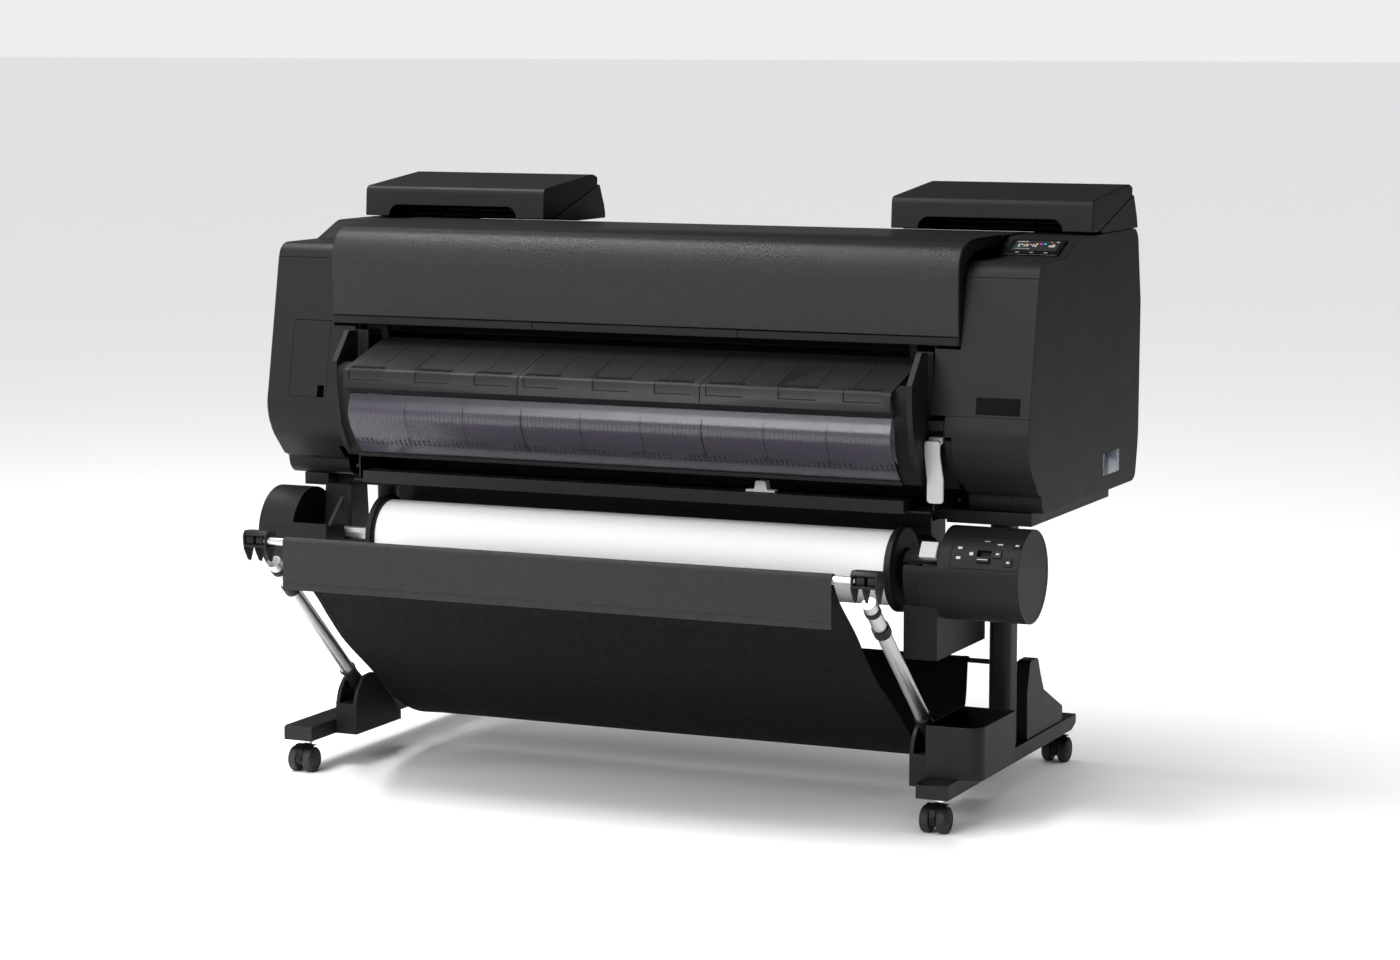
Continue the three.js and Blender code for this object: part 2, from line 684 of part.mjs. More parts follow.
add('right_roll_housing', rightRollHousing(), CASE);
add('left_roll_housing', leftRollHousing(), CASE);
add('lock_lever', lockLeverPad([62, 92], [24, 44], [605, 637]), LIGHT_GREY);
add('drive_switch', driveSwitch(), DARK);
for (const [name, { x, half, degrees }] of Object.entries(DRUM_KEYS)) {
  const reach = [HOUSING_RADIUS - KEY_DEPTH, HOUSING_RADIUS + KEY_STANDS];
  add(name, drumBlock(x, half, reach, degrees), DARK);
}

// The formed beam between the housings guides the paper behind the lower roll.
add('roll_unit_beam', prism('x', [
  [66, 560], [80, 560], [80, 538], [150, 538], [150, 474], [104, 474], [100, 500], [72, 512],
], [-566, 566]), FRAME_STEEL);

// ---------------------------------------------------------------- stand

function foot(side) {
  const profile = [
    [FOOT_FRONT_Y, FOOT_BOTTOM_Z], [FOOT_FRONT_Y, FOOT_TOP_Z - 3, 2], [FOOT_FRONT_Y + 8, FOOT_TOP_Z, 2],
    [FOOT_REAR_Y, FOOT_TOP_Z], [FOOT_REAR_Y, FOOT_TOP_Z - 18, 6], [FOOT_REAR_Y - 26, FOOT_BOTTOM_Z],
  ];
  return prism('x', profile, across(side, FOOT_X - FOOT_HALF_WIDTH, FOOT_X + FOOT_HALF_WIDTH));
}

function column(side) {
  const [left, right] = across(side, 640, 684);
  const section = [[left, 185, 14], [right, 185, 14], [right, 240, 14], [left, 240, 14]];
  return prism('z', section, [FOOT_TOP_Z + 0.4, 541.6]);
}

function armBracket(side) {
  const body = prism('x', [
    [-82, 66], [-82, 127], [-74, 152, 12], [-50, 178, 14], [-8, 182, 12], [24, 155], [100, 83], [100, 66],
  ], across(side, 583, 629.5));
  const slot = box(across(side, 591, 621), [-90, 52], [127, 200]);
  return join(cut(body, slot), barX(6, across(side, 588, 624), ARM_PIVOT, 16));
}

function accessoryBin() {
  const footprint = (margin) => [
    [631 + margin, -125 + margin], [736 - margin, -125 + margin, 34 - margin], [736 - margin, 76 - margin, 6],
    [631 + margin, 76 - margin],
  ];
  const body = prism('z', footprint(0), [FOOT_TOP_Z + 0.4, 192], 6);
  return cut(body, prism('z', footprint(3), [98, 200], 6));
}

function rearRod() {
  const holder = [
    [277, 94.4], [275, 188], [292, 246, 8], [338, 246, 8], [352, 217], [376, 177], [492, 124], [493, 94.4],
  ];
  const holders = SIDES.map(([, side]) => prism('x', holder, across(side, 664, 690)));
  return join(barX(5, [-676, 676], REAR_ROD, 16), ...holders);
}

function baseFrame() {
  const height = [542, 566.5];
  const leftEnd = box([-770, -716], [50, 520], height);
  const rightEnd = box([604, 770], [50, 520], height);
  return join(box([-751, 751], [87, 520], height), leftEnd, rightEnd);
}

add('base_frame', baseFrame(), FRAME_STEEL);
for (const [name, side] of SIDES) {
  add(`${name}_foot`, foot(side), FRAME_STEEL);
  add(`${name}_column`, column(side), FRAME_STEEL);
  add(`${name}_arm_bracket`, armBracket(side), DARK);
}
add('accessory_bin', accessoryBin(), DARK);
add('rear_rod', rearRod(), FRAME_STEEL);

// ---------------------------------------------------------------- catch basket

const ARM_RADIUS = 13.5;
const ARM_LENGTH = 434;

// Moves a bar drawn up the Z axis from its pivot to the lean of the basket's arms.
function leanArm(geometry, side) {
  geometry.rotateX(Math.PI / 2 - ARM_LEAN);
  return geometry.translate(side * ARM_X, ...ARM_PIVOT);
}

function basketArm(side) {
  const tube = barZ(ARM_RADIUS, [40, ARM_LENGTH], [0, 0]);
  const socket = barZ(ARM_RADIUS + 0.8, [-4, 62], [0, 0]);
  const collar = barZ(ARM_RADIUS + 3, [338, 360], [0, 0]);
  const eye = barX(6.6, across(side, 580, 640), ARM_PIVOT, 16);
  const knuckle = barX(ARM_RADIUS, [-13, 13], [0, 0], 20);
  return cut(leanArm(join(tube, socket, collar, knuckle), side), eye);
}

function rodClip(side) {
  const profile = [
    [-378, 452, 6], [-400, 464, 6], [-404, 476], [-404, 502], [-396, 514, 6], [-366, 512, 8], [-362, 486, 4],
  ];
  const body = prism('x', profile, across(side, 587, 642));
  return cut(body, barX(FRONT_ROD_RADIUS + GAP, across(side, 580, 600), FRONT_ROD, 20));
}

const SLING_LINE = [
  [-390, 484], [-360, 446], [-283, 379], [-234, 329], [-174, 274], [-80, 208], [-22, 164], [54, 111],
  [130, 80], [195, 72], [262, 92], [300, 150], [316, 226],
];

function basketCloth() {
  const sling = prism('x', sheet(SLING_LINE, 3), [-555, 555]);
  const flap = box([-555, 555], [-401, -398], [406, 484]);
  const hem = box([-555, 555], [-401, -388], [480, 485.5]);
  return join(sling, flap, hem);
}

for (const [name, side] of SIDES) {
  add(`${name}_arm`, basketArm(side), SILVER);
  add(`${name}_rod_clip`, rodClip(side), DARK);
}
add('front_rod', barX(FRONT_ROD_RADIUS, [-598, 598], FRONT_ROD), SILVER);
add('basket_cloth', basketCloth(), FABRIC);

// ---------------------------------------------------------------- casters

function casterYoke(x, y) {
  const plate = prism('x', [
    [-22, 16], [-22, 38, 10], [-4, 53, 8], [CASTER_TRAIL + 8, 53, 6], [CASTER_TRAIL + 6, 40], [10, 16],
  ], [-6, 6]);
  const stem = barZ(5, [50, FOOT_BOTTOM_Z - 0.4], [0, CASTER_TRAIL], 16);
  const cap = barZ(9, [49, 56], [0, CASTER_TRAIL], 16);
  const bore = barX(4.5, [-10, 10], [0, WHEEL_RADIUS], 12);
  return cut(join(plate, stem, cap), bore).translate(x, y, 0);
}

function casterWheels(x, y) {
  const wheel = [[4, 6.6], [22, 7], [WHEEL_RADIUS, 10], [WHEEL_RADIUS, 22], [20, 27], [0, 27]];
  const profile = [...wheel.map(([radius, at]) => [radius, -at]).reverse(), ...wheel];
  const geometry = new THREE.LatheGeometry(profile.map(([r, at]) => new THREE.Vector2(r, at)), 32);
  return geometry.rotateZ(-Math.PI / 2).translate(x, y, WHEEL_RADIUS);
}

for (const [name, side] of SIDES) {
  CASTER_WHEEL_Y.forEach((y, index) => {
    const place = index === 0 ? 'front' : 'rear';
    add(`${place}_${name}_caster_yoke`, casterYoke(side * FOOT_X, y), CHROME);
    add(`${place}_${name}_caster_wheels`, casterWheels(side * FOOT_X, y), RUBBER);
  });
}

export default machine;
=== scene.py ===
import json
import math

import bmesh
import bpy
from mathutils import Matrix, Vector

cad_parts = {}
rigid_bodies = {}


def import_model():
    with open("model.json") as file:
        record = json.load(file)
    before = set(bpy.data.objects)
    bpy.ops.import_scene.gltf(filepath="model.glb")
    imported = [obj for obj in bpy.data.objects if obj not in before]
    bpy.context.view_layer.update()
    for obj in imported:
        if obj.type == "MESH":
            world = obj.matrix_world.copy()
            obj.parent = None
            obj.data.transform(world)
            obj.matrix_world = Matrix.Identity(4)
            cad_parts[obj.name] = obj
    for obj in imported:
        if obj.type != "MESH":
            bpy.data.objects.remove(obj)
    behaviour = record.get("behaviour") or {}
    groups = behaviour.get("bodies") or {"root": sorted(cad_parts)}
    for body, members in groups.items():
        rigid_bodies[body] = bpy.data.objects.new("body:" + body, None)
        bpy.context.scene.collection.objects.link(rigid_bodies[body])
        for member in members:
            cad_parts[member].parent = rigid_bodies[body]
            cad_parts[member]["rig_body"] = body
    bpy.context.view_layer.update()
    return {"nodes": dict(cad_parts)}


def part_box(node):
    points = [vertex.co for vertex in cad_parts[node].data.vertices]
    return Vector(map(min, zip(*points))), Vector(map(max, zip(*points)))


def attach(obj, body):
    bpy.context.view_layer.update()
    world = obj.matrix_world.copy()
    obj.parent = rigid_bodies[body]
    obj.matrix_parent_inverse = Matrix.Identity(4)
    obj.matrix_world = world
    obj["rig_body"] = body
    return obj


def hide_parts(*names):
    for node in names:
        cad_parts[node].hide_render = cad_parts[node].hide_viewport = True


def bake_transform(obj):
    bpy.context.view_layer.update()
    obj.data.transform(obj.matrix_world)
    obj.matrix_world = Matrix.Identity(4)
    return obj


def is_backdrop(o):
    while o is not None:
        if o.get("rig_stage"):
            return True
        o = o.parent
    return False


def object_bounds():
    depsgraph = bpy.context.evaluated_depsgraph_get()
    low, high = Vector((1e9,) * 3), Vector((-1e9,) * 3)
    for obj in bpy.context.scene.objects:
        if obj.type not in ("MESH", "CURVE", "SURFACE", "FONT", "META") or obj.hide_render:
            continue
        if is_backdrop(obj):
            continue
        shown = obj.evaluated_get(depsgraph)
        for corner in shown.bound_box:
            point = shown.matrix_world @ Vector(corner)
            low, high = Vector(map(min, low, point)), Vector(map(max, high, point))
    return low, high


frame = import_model()
MM = 0.001
NODE_SLOT = {name: node.data.materials[0].name for name, node in frame["nodes"].items()}
NODE_BODY = {name: node["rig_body"] for name, node in frame["nodes"].items()}

# The part is described in millimetres, with y = 0 at the seam of the cabinet fronts.
# The lower roll's axis lies a little in front of that seam.
ROLL_TO_SEAM = 20
roll_low, roll_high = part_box("paper_roll")
SEAM_Y = (roll_low.y + roll_high.y) / 2 / MM + ROLL_TO_SEAM

# ---------------------------------------------------------------- camera

# The camera stands on the machine's right and looks down and to its left, by these angles in degrees.
CAMERA_PLACE = (2.82745, -6.17522, 1.45121)
CAMERA_DOWN = 7.2914
CAMERA_TURN = 24.0286

camera_data = bpy.data.cameras.new("camera")
camera_data.lens = 90.58
camera_data.sensor_width = 36
camera_data.clip_end = 1000
camera = bpy.data.objects.new("camera", camera_data)
camera.location = CAMERA_PLACE
camera.rotation_euler = (math.radians(90 - CAMERA_DOWN), 0, math.radians(CAMERA_TURN))
bpy.context.scene.collection.objects.link(camera)
bpy.context.scene.camera = camera

# ---------------------------------------------------------------- materials


def ranged(tree, value, low, high, start, end, way="LINEAR"):
    """Maps a value between start and end to one between low and high."""
    node = tree.nodes.new("ShaderNodeMapRange")
    node.interpolation_type = way
    node.inputs["From Min"].default_value = start
    node.inputs["From Max"].default_value = end
    node.inputs["To Min"].default_value = low
    node.inputs["To Max"].default_value = high
    tree.links.new(value, node.inputs["Value"])
    return node.outputs["Result"]


class Shader:
    """Builds a procedural Principled material."""

    def __init__(self, name):
        self.material = bpy.data.materials.new(name)
        self.material.use_nodes = True
        self.nodes = self.material.node_tree.nodes
        self.links = self.material.node_tree.links
        self.surface = self.nodes["Principled BSDF"]
        self.place = self.nodes.new("ShaderNodeTexCoord").outputs["Object"]

    def set(self, **values):
        for key, value in values.items():
            self.surface.inputs[key.replace("_", " ")].default_value = value

    def stretched(self, scale):
        mapping = self.nodes.new("ShaderNodeMapping")
        mapping.inputs["Scale"].default_value = scale
        self.links.new(self.place, mapping.inputs["Vector"])
        return mapping.outputs["Vector"]

    def noise(self, scale, detail=4, rough=0.6, vector=None):
        node = self.nodes.new("ShaderNodeTexNoise")
        node.inputs["Scale"].default_value = scale
        node.inputs["Detail"].default_value = detail
        node.inputs["Roughness"].default_value = rough
        self.links.new(vector or self.place, node.inputs["Vector"])
        return node.outputs["Fac"]

    def cells(self, scale):
        node = self.nodes.new("ShaderNodeTexVoronoi")
        node.feature = "DISTANCE_TO_EDGE"
        node.inputs["Scale"].default_value = scale
        self.links.new(self.place, node.inputs["Vector"])
        return node.outputs["Distance"]

    def wave(self, scale, axis, distortion):
        node = self.nodes.new("ShaderNodeTexWave")
        node.bands_direction = axis
        node.inputs["Scale"].default_value = scale
        node.inputs["Distortion"].default_value = distortion
        self.links.new(self.place, node.inputs["Vector"])
        return node.outputs["Fac"]

    def ramp(self, value, low, high, start=0.3, end=0.7):
        return ranged(self.material.node_tree, value, low, high, start, end)

    def mixed(self, value, first, second):
        node = self.nodes.new("ShaderNodeMix")
        node.data_type = "RGBA"
        node.inputs["A"].default_value = (*first, 1)
        node.inputs["B"].default_value = (*second, 1)
        self.links.new(value, node.inputs["Factor"])
        return node.outputs["Result"]

    def feed(self, socket, value):
        self.links.new(value, self.surface.inputs[socket])

    def bump(self, heights, depth):
        """Adds pairs of a height and its share of the depth, in metres."""
        before = None
        for height, share in heights:
            node = self.nodes.new("ShaderNodeBump")
            node.inputs["Strength"].default_value = 1.0
            node.inputs["Distance"].default_value = depth * share
            self.links.new(height, node.inputs["Height"])
            if before:
                self.links.new(before, node.inputs["Normal"])
            before = node.outputs["Normal"]
        self.links.new(before, self.surface.inputs["Normal"])
        return self


def grey(level, tint=(1, 1, 1)):
    return tuple(level * channel for channel in tint)


def plastic(name, level, rough, grain=900, depth=0.00012, tint=(1, 1, 1.03), gloss=0.3):
    """Moulded plastic: a fine spark grain, rubbed patches and a trace of dust on top."""
    shader = Shader(name)
    wear = shader.noise(7, 6, 0.65)
    fine = shader.noise(grain, 2, 0.5)
    pits = shader.cells(grain * 0.7)
    facing = shader.nodes.new("ShaderNodeNewGeometry").outputs["Normal"]
    split = shader.nodes.new("ShaderNodeSeparateXYZ")
    shader.links.new(facing, split.inputs["Vector"])
    dust = shader.nodes.new("ShaderNodeMath")
    dust.operation = "MULTIPLY"
    shader.links.new(shader.ramp(split.outputs["Z"], 0, 0.12, 0.6, 1.0), dust.inputs[0])
    shader.links.new(shader.ramp(shader.noise(38, 8, 0.7), 0, 1, 0.35, 0.75), dust.inputs[1])
    base = shader.mixed(wear, grey(level * 0.95, tint), grey(level * 1.05, tint))
    over = shader.nodes.new("ShaderNodeMix")
    over.data_type = "RGBA"
    shader.links.new(dust.outputs[0], over.inputs["Factor"])
    shader.links.new(base, over.inputs["A"])
    over.inputs["B"].default_value = (*grey(min(1, level * 1.6 + 0.004), (1, 0.99, 0.97)), 1)
    shader.feed("Base Color", over.outputs["Result"])
    shader.feed("Roughness", shader.ramp(shader.noise(16, 5, 0.7), rough - 0.02, rough + 0.03))
    shader.set(Specular_IOR_Level=gloss)
    return shader.bump([(fine, 1), (pits, 0.6)], depth)


def metal(name, level, rough, grain):
    """Bare metal with a fine grain, which the three scales draw out, and a trace of smears."""
    shader = Shader(name)
    smear = shader.noise(9, 5, 0.6)
    shader.feed("Base Color", shader.mixed(smear, grey(level * 0.93), grey(level)))
    shader.feed("Roughness", shader.ramp(shader.noise(30, 6, 0.7), rough - 0.05, rough + 0.08))
    shader.set(Metallic=1.0)
    return shader.bump([(shader.noise(1, 3, 0.6, shader.stretched(grain)), 1)], 0.00006)


CASE = plastic("case_black", 0.014, 0.44, 1000, 0.00010, gloss=0.12)
DARK = plastic("plastic_black", 0.009, 0.46, 1300, 0.00010, gloss=0.2)
STEEL = plastic("powder_coat", 0.008, 0.5, 1700, 0.00014, (1, 1, 1))
LIGHT = plastic("plastic_light_grey", 0.56, 0.4, 1500, 0.00006, (1, 1, 0.985))
SILVER = metal("silver_tube", 0.62, 0.32, (25, 900, 900))
CHROME = metal("chrome", 0.8, 0.12, (200, 200, 200))

# The front of the top cover has a leather-like grain.
LEATHER = plastic("case_leather", 0.0155, 0.41, 1500, 0.00006, gloss=0.22)
LEATHER.bump(
    [(LEATHER.ramp(LEATHER.cells(240), 0, 1, 0.0, 0.25), 1), (LEATHER.noise(420, 4, 0.6), 0.9)],
    0.00028,
)

PAPER = Shader("paper")
PAPER.feed("Base Color", PAPER.mixed(PAPER.noise(60, 5, 0.6), grey(0.88), grey(0.92, (1, 1, 0.99))))
PAPER.feed("Roughness", PAPER.ramp(PAPER.noise(300, 3, 0.6), 0.5, 0.62))
PAPER.bump([(PAPER.noise(1500, 3, 0.6), 1)], 0.00002)

RUBBER = Shader("tyre_rubber")
RUBBER.feed("Base Color", RUBBER.mixed(RUBBER.noise(70, 6, 0.7), grey(0.008), grey(0.016)))
RUBBER.feed("Roughness", RUBBER.ramp(RUBBER.noise(90, 5, 0.7), 0.5, 0.75))
RUBBER.bump([(RUBBER.noise(1800, 3, 0.6), 1)], 0.00012)

CLOTH = Shader("basket_cloth_black")
warp = CLOTH.wave(330, "X", 0.4)
weft = CLOTH.wave(330, "Y", 0.4)
rise = CLOTH.wave(330, "Z", 0.4)
CLOTH.feed("Base Color", CLOTH.mixed(CLOTH.noise(14, 7, 0.7), grey(0.0035), grey(0.0055)))
CLOTH.feed("Roughness", CLOTH.ramp(CLOTH.noise(90, 4, 0.6), 0.72, 0.9))
CLOTH.set(Specular_IOR_Level=0.12)
CLOTH.bump([(warp, 1), (weft, 0.8), (rise, 0.8), (CLOTH.noise(900, 3, 0.7), 0.7)], 0.00012)

FLAP = Shader("front_flap_cloth")
FLAP.feed("Base Color", FLAP.mixed(FLAP.noise(11, 7, 0.7), grey(0.009), grey(0.012)))
FLAP.feed("Roughness", FLAP.ramp(FLAP.noise(60, 4, 0.6), 0.6, 0.75))
FLAP.set(Specular_IOR_Level=0.35, Sheen_Weight=0.1, Sheen_Roughness=0.5)
FLAP.bump([(FLAP.wave(300, "X", 0.5), 1), (FLAP.wave(300, "Z", 0.5), 1)], 0.00008)

SMOKED = Shader("smoked_plastic")
SMOKED.feed("Base Color", SMOKED.mixed(SMOKED.noise(5, 5, 0.6), (0.085, 0.075, 0.10), (0.105, 0.093, 0.12)))
SMOKED.feed("Roughness", SMOKED.ramp(SMOKED.noise(40, 6, 0.7), 0.16, 0.26))
SMOKED.set(Transmission_Weight=0.35, IOR=1.45)
SMOKED.bump([(SMOKED.noise(220, 3, 0.6), 1)], 0.00003)

SCREEN = Shader("screen_glass")
screen_tone = SCREEN.noise(8, 4, 0.6)
SCREEN.feed("Base Color", SCREEN.mixed(screen_tone, (0.004, 0.004, 0.005), (0.008, 0.008, 0.009)))
SCREEN.feed("Roughness", SCREEN.ramp(SCREEN.noise(60, 6, 0.7), 0.06, 0.14))
SCREEN.bump([(SCREEN.noise(20, 3, 0.6), 1)], 0.00002)

PRINT = Shader("printed_mark")
PRINT.feed("Base Color", PRINT.mixed(PRINT.noise(400, 4, 0.7), grey(0.5), grey(0.62)))
PRINT.feed("Roughness", PRINT.ramp(PRINT.noise(300, 4, 0.7), 0.45, 0.6))
PRINT.bump([(PRINT.noise(1500, 2, 0.5), 1)], 0.00002)

FINE_RIB = plastic("window_rib", 0.06, 0.35, 900, 0.00003, (1, 0.94, 1.12))
NAMEPLATE = plastic("nameplate_black", 0.004, 0.6, 1500, 0.00002, gloss=0.05)
LABEL = Shader("label_foil")
label_patches = LABEL.ramp(LABEL.noise(26, 1, 0.4), 0, 1, 0.42, 0.55)
LABEL.feed("Base Color", LABEL.mixed(label_patches, (0.03, 0.05, 0.1), (0.3, 0.34, 0.4)))
LABEL.feed("Roughness", LABEL.ramp(LABEL.noise(80, 4, 0.6), 0.2, 0.4))
LABEL.bump([(LABEL.noise(600, 2, 0.6), 1)], 0.00002)

SLOT_MATERIAL = {
    "case_plastic": CASE,
    "dark_plastic": DARK,
    "frame_steel": STEEL,
    "smoked_window": SMOKED,
    "screen": SCREEN,
    "light_grey_plastic": LIGHT,
    "brushed_silver": SILVER,
    "chrome": CHROME,
    "paper": PAPER,
    "basket_fabric": CLOTH,
    "caster_rubber": RUBBER,
}

# ---------------------------------------------------------------- mesh helpers

# For each axis: the two axes across it, then the axis itself.
ALONG = {"x": (1, 2, 0), "y": (0, 2, 1), "z": (0, 1, 2)}
CORNER_STEPS = 7
BEVEL = {"profile": 0.5, "affect": "EDGES"}


def to_frame(bm):
    """From millimetres, with y from the cabinet seam, to the row frame in metres."""
    bmesh.ops.translate(bm, vec=(0, SEAM_Y, 0), verts=bm.verts)
    bmesh.ops.scale(bm, vec=(MM, MM, MM), verts=bm.verts)


def as_object(name, bm):
    bmesh.ops.recalc_face_normals(bm, faces=bm.faces)
    mesh = bpy.data.meshes.new(name)
    bm.to_mesh(mesh)
    bm.free()
    made = bpy.data.objects.new(name, mesh)
    bpy.context.scene.collection.objects.link(made)
    return made


def rounded(corners):
    """A closed outline of (u, v) or (u, v, radius) corners, with the corners rounded."""
    out = []
    count = len(corners)
    for index, corner in enumerate(corners):
        here = Vector(corner[:2])
        radius = corner[2] if len(corner) > 2 else 0
        if not radius:
            out.append(here)
            continue
        back = Vector(corners[index - 1][:2]) - here
        ahead = Vector(corners[(index + 1) % count][:2]) - here
        half = back.angle(ahead) / 2
        reach = min(radius / math.tan(half), 0.49 * back.length, 0.49 * ahead.length)
        radius = reach * math.tan(half)
        middle = here + (back.normalized() + ahead.normalized()).normalized() * radius / math.sin(half)
        start = here + back.normalized() * reach - middle
        end = here + ahead.normalized() * reach - middle
        first = math.atan2(start.y, start.x)
        turn = math.atan2(end.y, end.x) - first
        turn = (turn + math.pi) % (2 * math.pi) - math.pi
        for step in range(CORNER_STEPS + 1):
            angle = first + turn * step / CORNER_STEPS
            out.append(middle + Vector((math.cos(angle), math.sin(angle))) * radius)
    return out


def spline(points, steps):
    """A smooth open line through the points."""
    points = [Vector(p) for p in points]
    ends = [points[0] * 2 - points[1], *points, points[-1] * 2 - points[-2]]
    out = []
    for a, b, c, d in zip(ends, ends[1:], ends[2:], ends[3:]):
        for step in range(steps):
            t = step / steps
            out.append(((b * 2) + (c - a) * t + (a * 2 - b * 5 + c * 4 - d) * t * t
                        + (b * 3 - a - c * 3 + d) * t * t * t) / 2)
    return [*out, points[-1]]


def thick(line, thickness):
    """A closed outline: an open line and its copy, moved sideways."""
    line = [Vector(p) for p in line]
    other = []
    for index, here in enumerate(line):
        before = line[max(index - 1, 0)]
        after = line[min(index + 1, len(line) - 1)]
        way = (after - before).normalized()
        other.append(here + Vector((way.y, -way.x)) * thickness)
    return [*line, *reversed(other)]


def prism(name, axis, corners, stretch, soft=0, segments=3):
    """A closed outline drawn out along an axis. soft rounds the edges of both ends, in mm."""
    first, second, along = ALONG[axis]
    bm = bmesh.new()
    rings = []
    for end in stretch:
        ring = []
        for u, v in rounded(corners):
            place = [0, 0, 0]
            place[first], place[second], place[along] = u, v, end
            ring.append(bm.verts.new(place))
        rings.append(ring)
    count = len(rings[0])
    bm.faces.new(rings[0])
    bm.faces.new(list(reversed(rings[1])))
    for index in range(count):
        after = (index + 1) % count
        bm.faces.new((rings[0][index], rings[0][after], rings[1][after], rings[1][index]))
    bmesh.ops.recalc_face_normals(bm, faces=bm.faces)
    if soft:
        rims = []
        for edge in bm.edges:
            start, stop = edge.verts
            if len(edge.link_faces) == 2 and abs(start.co[along] - stop.co[along]) < 1e-6:
                rims.append(edge)
        bmesh.ops.bevel(bm, geom=rims, offset=soft, segments=segments, clamp_overlap=True, **BEVEL)
    to_frame(bm)
    return as_object(name, bm)


def box(name, xs, ys, zs, soft):
    """A block between pairs of positions. soft rounds its edges, in mm."""
    spans = (xs, ys, zs)
    bm = bmesh.new()
    bmesh.ops.create_cube(bm, size=1)
    bmesh.ops.scale(bm, vec=[high - low for low, high in spans], verts=bm.verts)
    bmesh.ops.translate(bm, vec=[(low + high) / 2 for low, high in spans], verts=bm.verts)
    if soft:
        bmesh.ops.bevel(bm, geom=bm.edges[:], offset=soft, segments=2, **BEVEL)
    to_frame(bm)
    return as_object(name, bm)


def turned(name, profile, centre, steps, axis="x"):
    """A profile of (radius, station) turned round a line along an axis. The profile is closed."""
    first, second, along = ALONG[axis]
    bm = bmesh.new()
    rings = []
    for radius, station in profile:
        ring = []
        for step in range(steps if radius > 1e-6 else 1):
            angle = 2 * math.pi * step / steps
            place = [0, 0, 0]
            place[first] = centre[0] + radius * math.cos(angle)
            place[second] = centre[1] + radius * math.sin(angle)
            place[along] = station
            ring.append(bm.verts.new(place))
        rings.append(ring)
    for ring, after in zip(rings, [*rings[1:], rings[0]]):
        if len(ring) == 1 and len(after) == 1:
            continue
        for step in range(steps):
            following = (step + 1) % steps
            corners = [ring[step % len(ring)], ring[following % len(ring)],
                       after[following % len(after)], after[step % len(after)]]
            bm.faces.new(list(dict.fromkeys(corners)))
    bmesh.ops.recalc_face_normals(bm, faces=bm.faces)
    to_frame(bm)
    return as_object(name, bm)


def rod(name, points, radius, steps):
    """A round bar along a line of points, with rounded ends."""
    points = [Vector(p) for p in points]
    bm = bmesh.new()
    rings = []
    side = None
    for index, here in enumerate(points):
        before = points[max(index - 1, 0)]
        after = points[min(index + 1, len(points) - 1)]
        way = (after - before).normalized()
        if side is None:
            side = way.orthogonal().normalized()
        side = (side - way * side.dot(way)).normalized()
        other = way.cross(side)
        ring = []
        for step in range(steps):
            angle = 2 * math.pi * step / steps
            ring.append(bm.verts.new(here + (side * math.cos(angle) + other * math.sin(angle)) * radius))
        rings.append(ring)
    for ring, after in zip(rings, rings[1:]):
        for k in range(steps):
            bm.faces.new((ring[k], ring[(k + 1) % steps], after[(k + 1) % steps], after[k]))
    caps = [bm.faces.new(rings[0]), bm.faces.new(rings[-1])]
    edges = [e for cap in caps for e in cap.edges]
    bmesh.ops.recalc_face_normals(bm, faces=bm.faces)
    bmesh.ops.bevel(bm, geom=edges, offset=radius * 0.18, segments=2, **BEVEL)
    to_frame(bm)
    return as_object(name, bm)


def refined(node):
    """A clean copy of a CAD node: whole flat faces in place of triangles."""
    bm = bmesh.new()
    bm.from_mesh(frame["nodes"][node].data)
    bmesh.ops.remove_doubles(bm, verts=bm.verts, dist=2e-6)
    bmesh.ops.dissolve_limit(bm, angle_limit=math.radians(0.5), verts=bm.verts, edges=bm.edges)
    return as_object(f"{node}_shape", bm)


def round_ends(piece, ends, radius):
    """Rounds the outline of a piece where it meets its flat ends, given as positions along X."""
    bm = bmesh.new()
    bm.from_mesh(piece.data)
    outline = [
        edge for edge in bm.edges
        if any(all(abs(vert.co.x / MM - end) < 0.05 for vert in edge.verts) for end in ends)
        and edge.calc_face_angle(0) > math.radians(60)
    ]
    bmesh.ops.bevel(bm, geom=outline, offset=radius * MM, segments=5, clamp_overlap=True, **BEVEL)
    bm.to_mesh(piece.data)
    bm.free()
    return piece


def joined(name, *pieces):
    """One mesh out of several."""
    bm = bmesh.new()
    for piece in pieces:
        bm.from_mesh(piece.data)
        bpy.data.objects.remove(piece)
    return as_object(name, bm)


def cut(piece, cutter):
    """Cuts another mesh out of a piece and removes it."""
    step = piece.modifiers.new("cut", "BOOLEAN")
    step.operation = "DIFFERENCE"
    step.solver = "EXACT"
    step.use_self = True
    step.object = cutter
    graph = bpy.context.evaluated_depsgraph_get()
    mesh = bpy.data.meshes.new_from_object(piece.evaluated_get(graph))
    piece.modifiers.clear()
    piece.data = mesh
    bpy.data.objects.remove(cutter)
    return piece


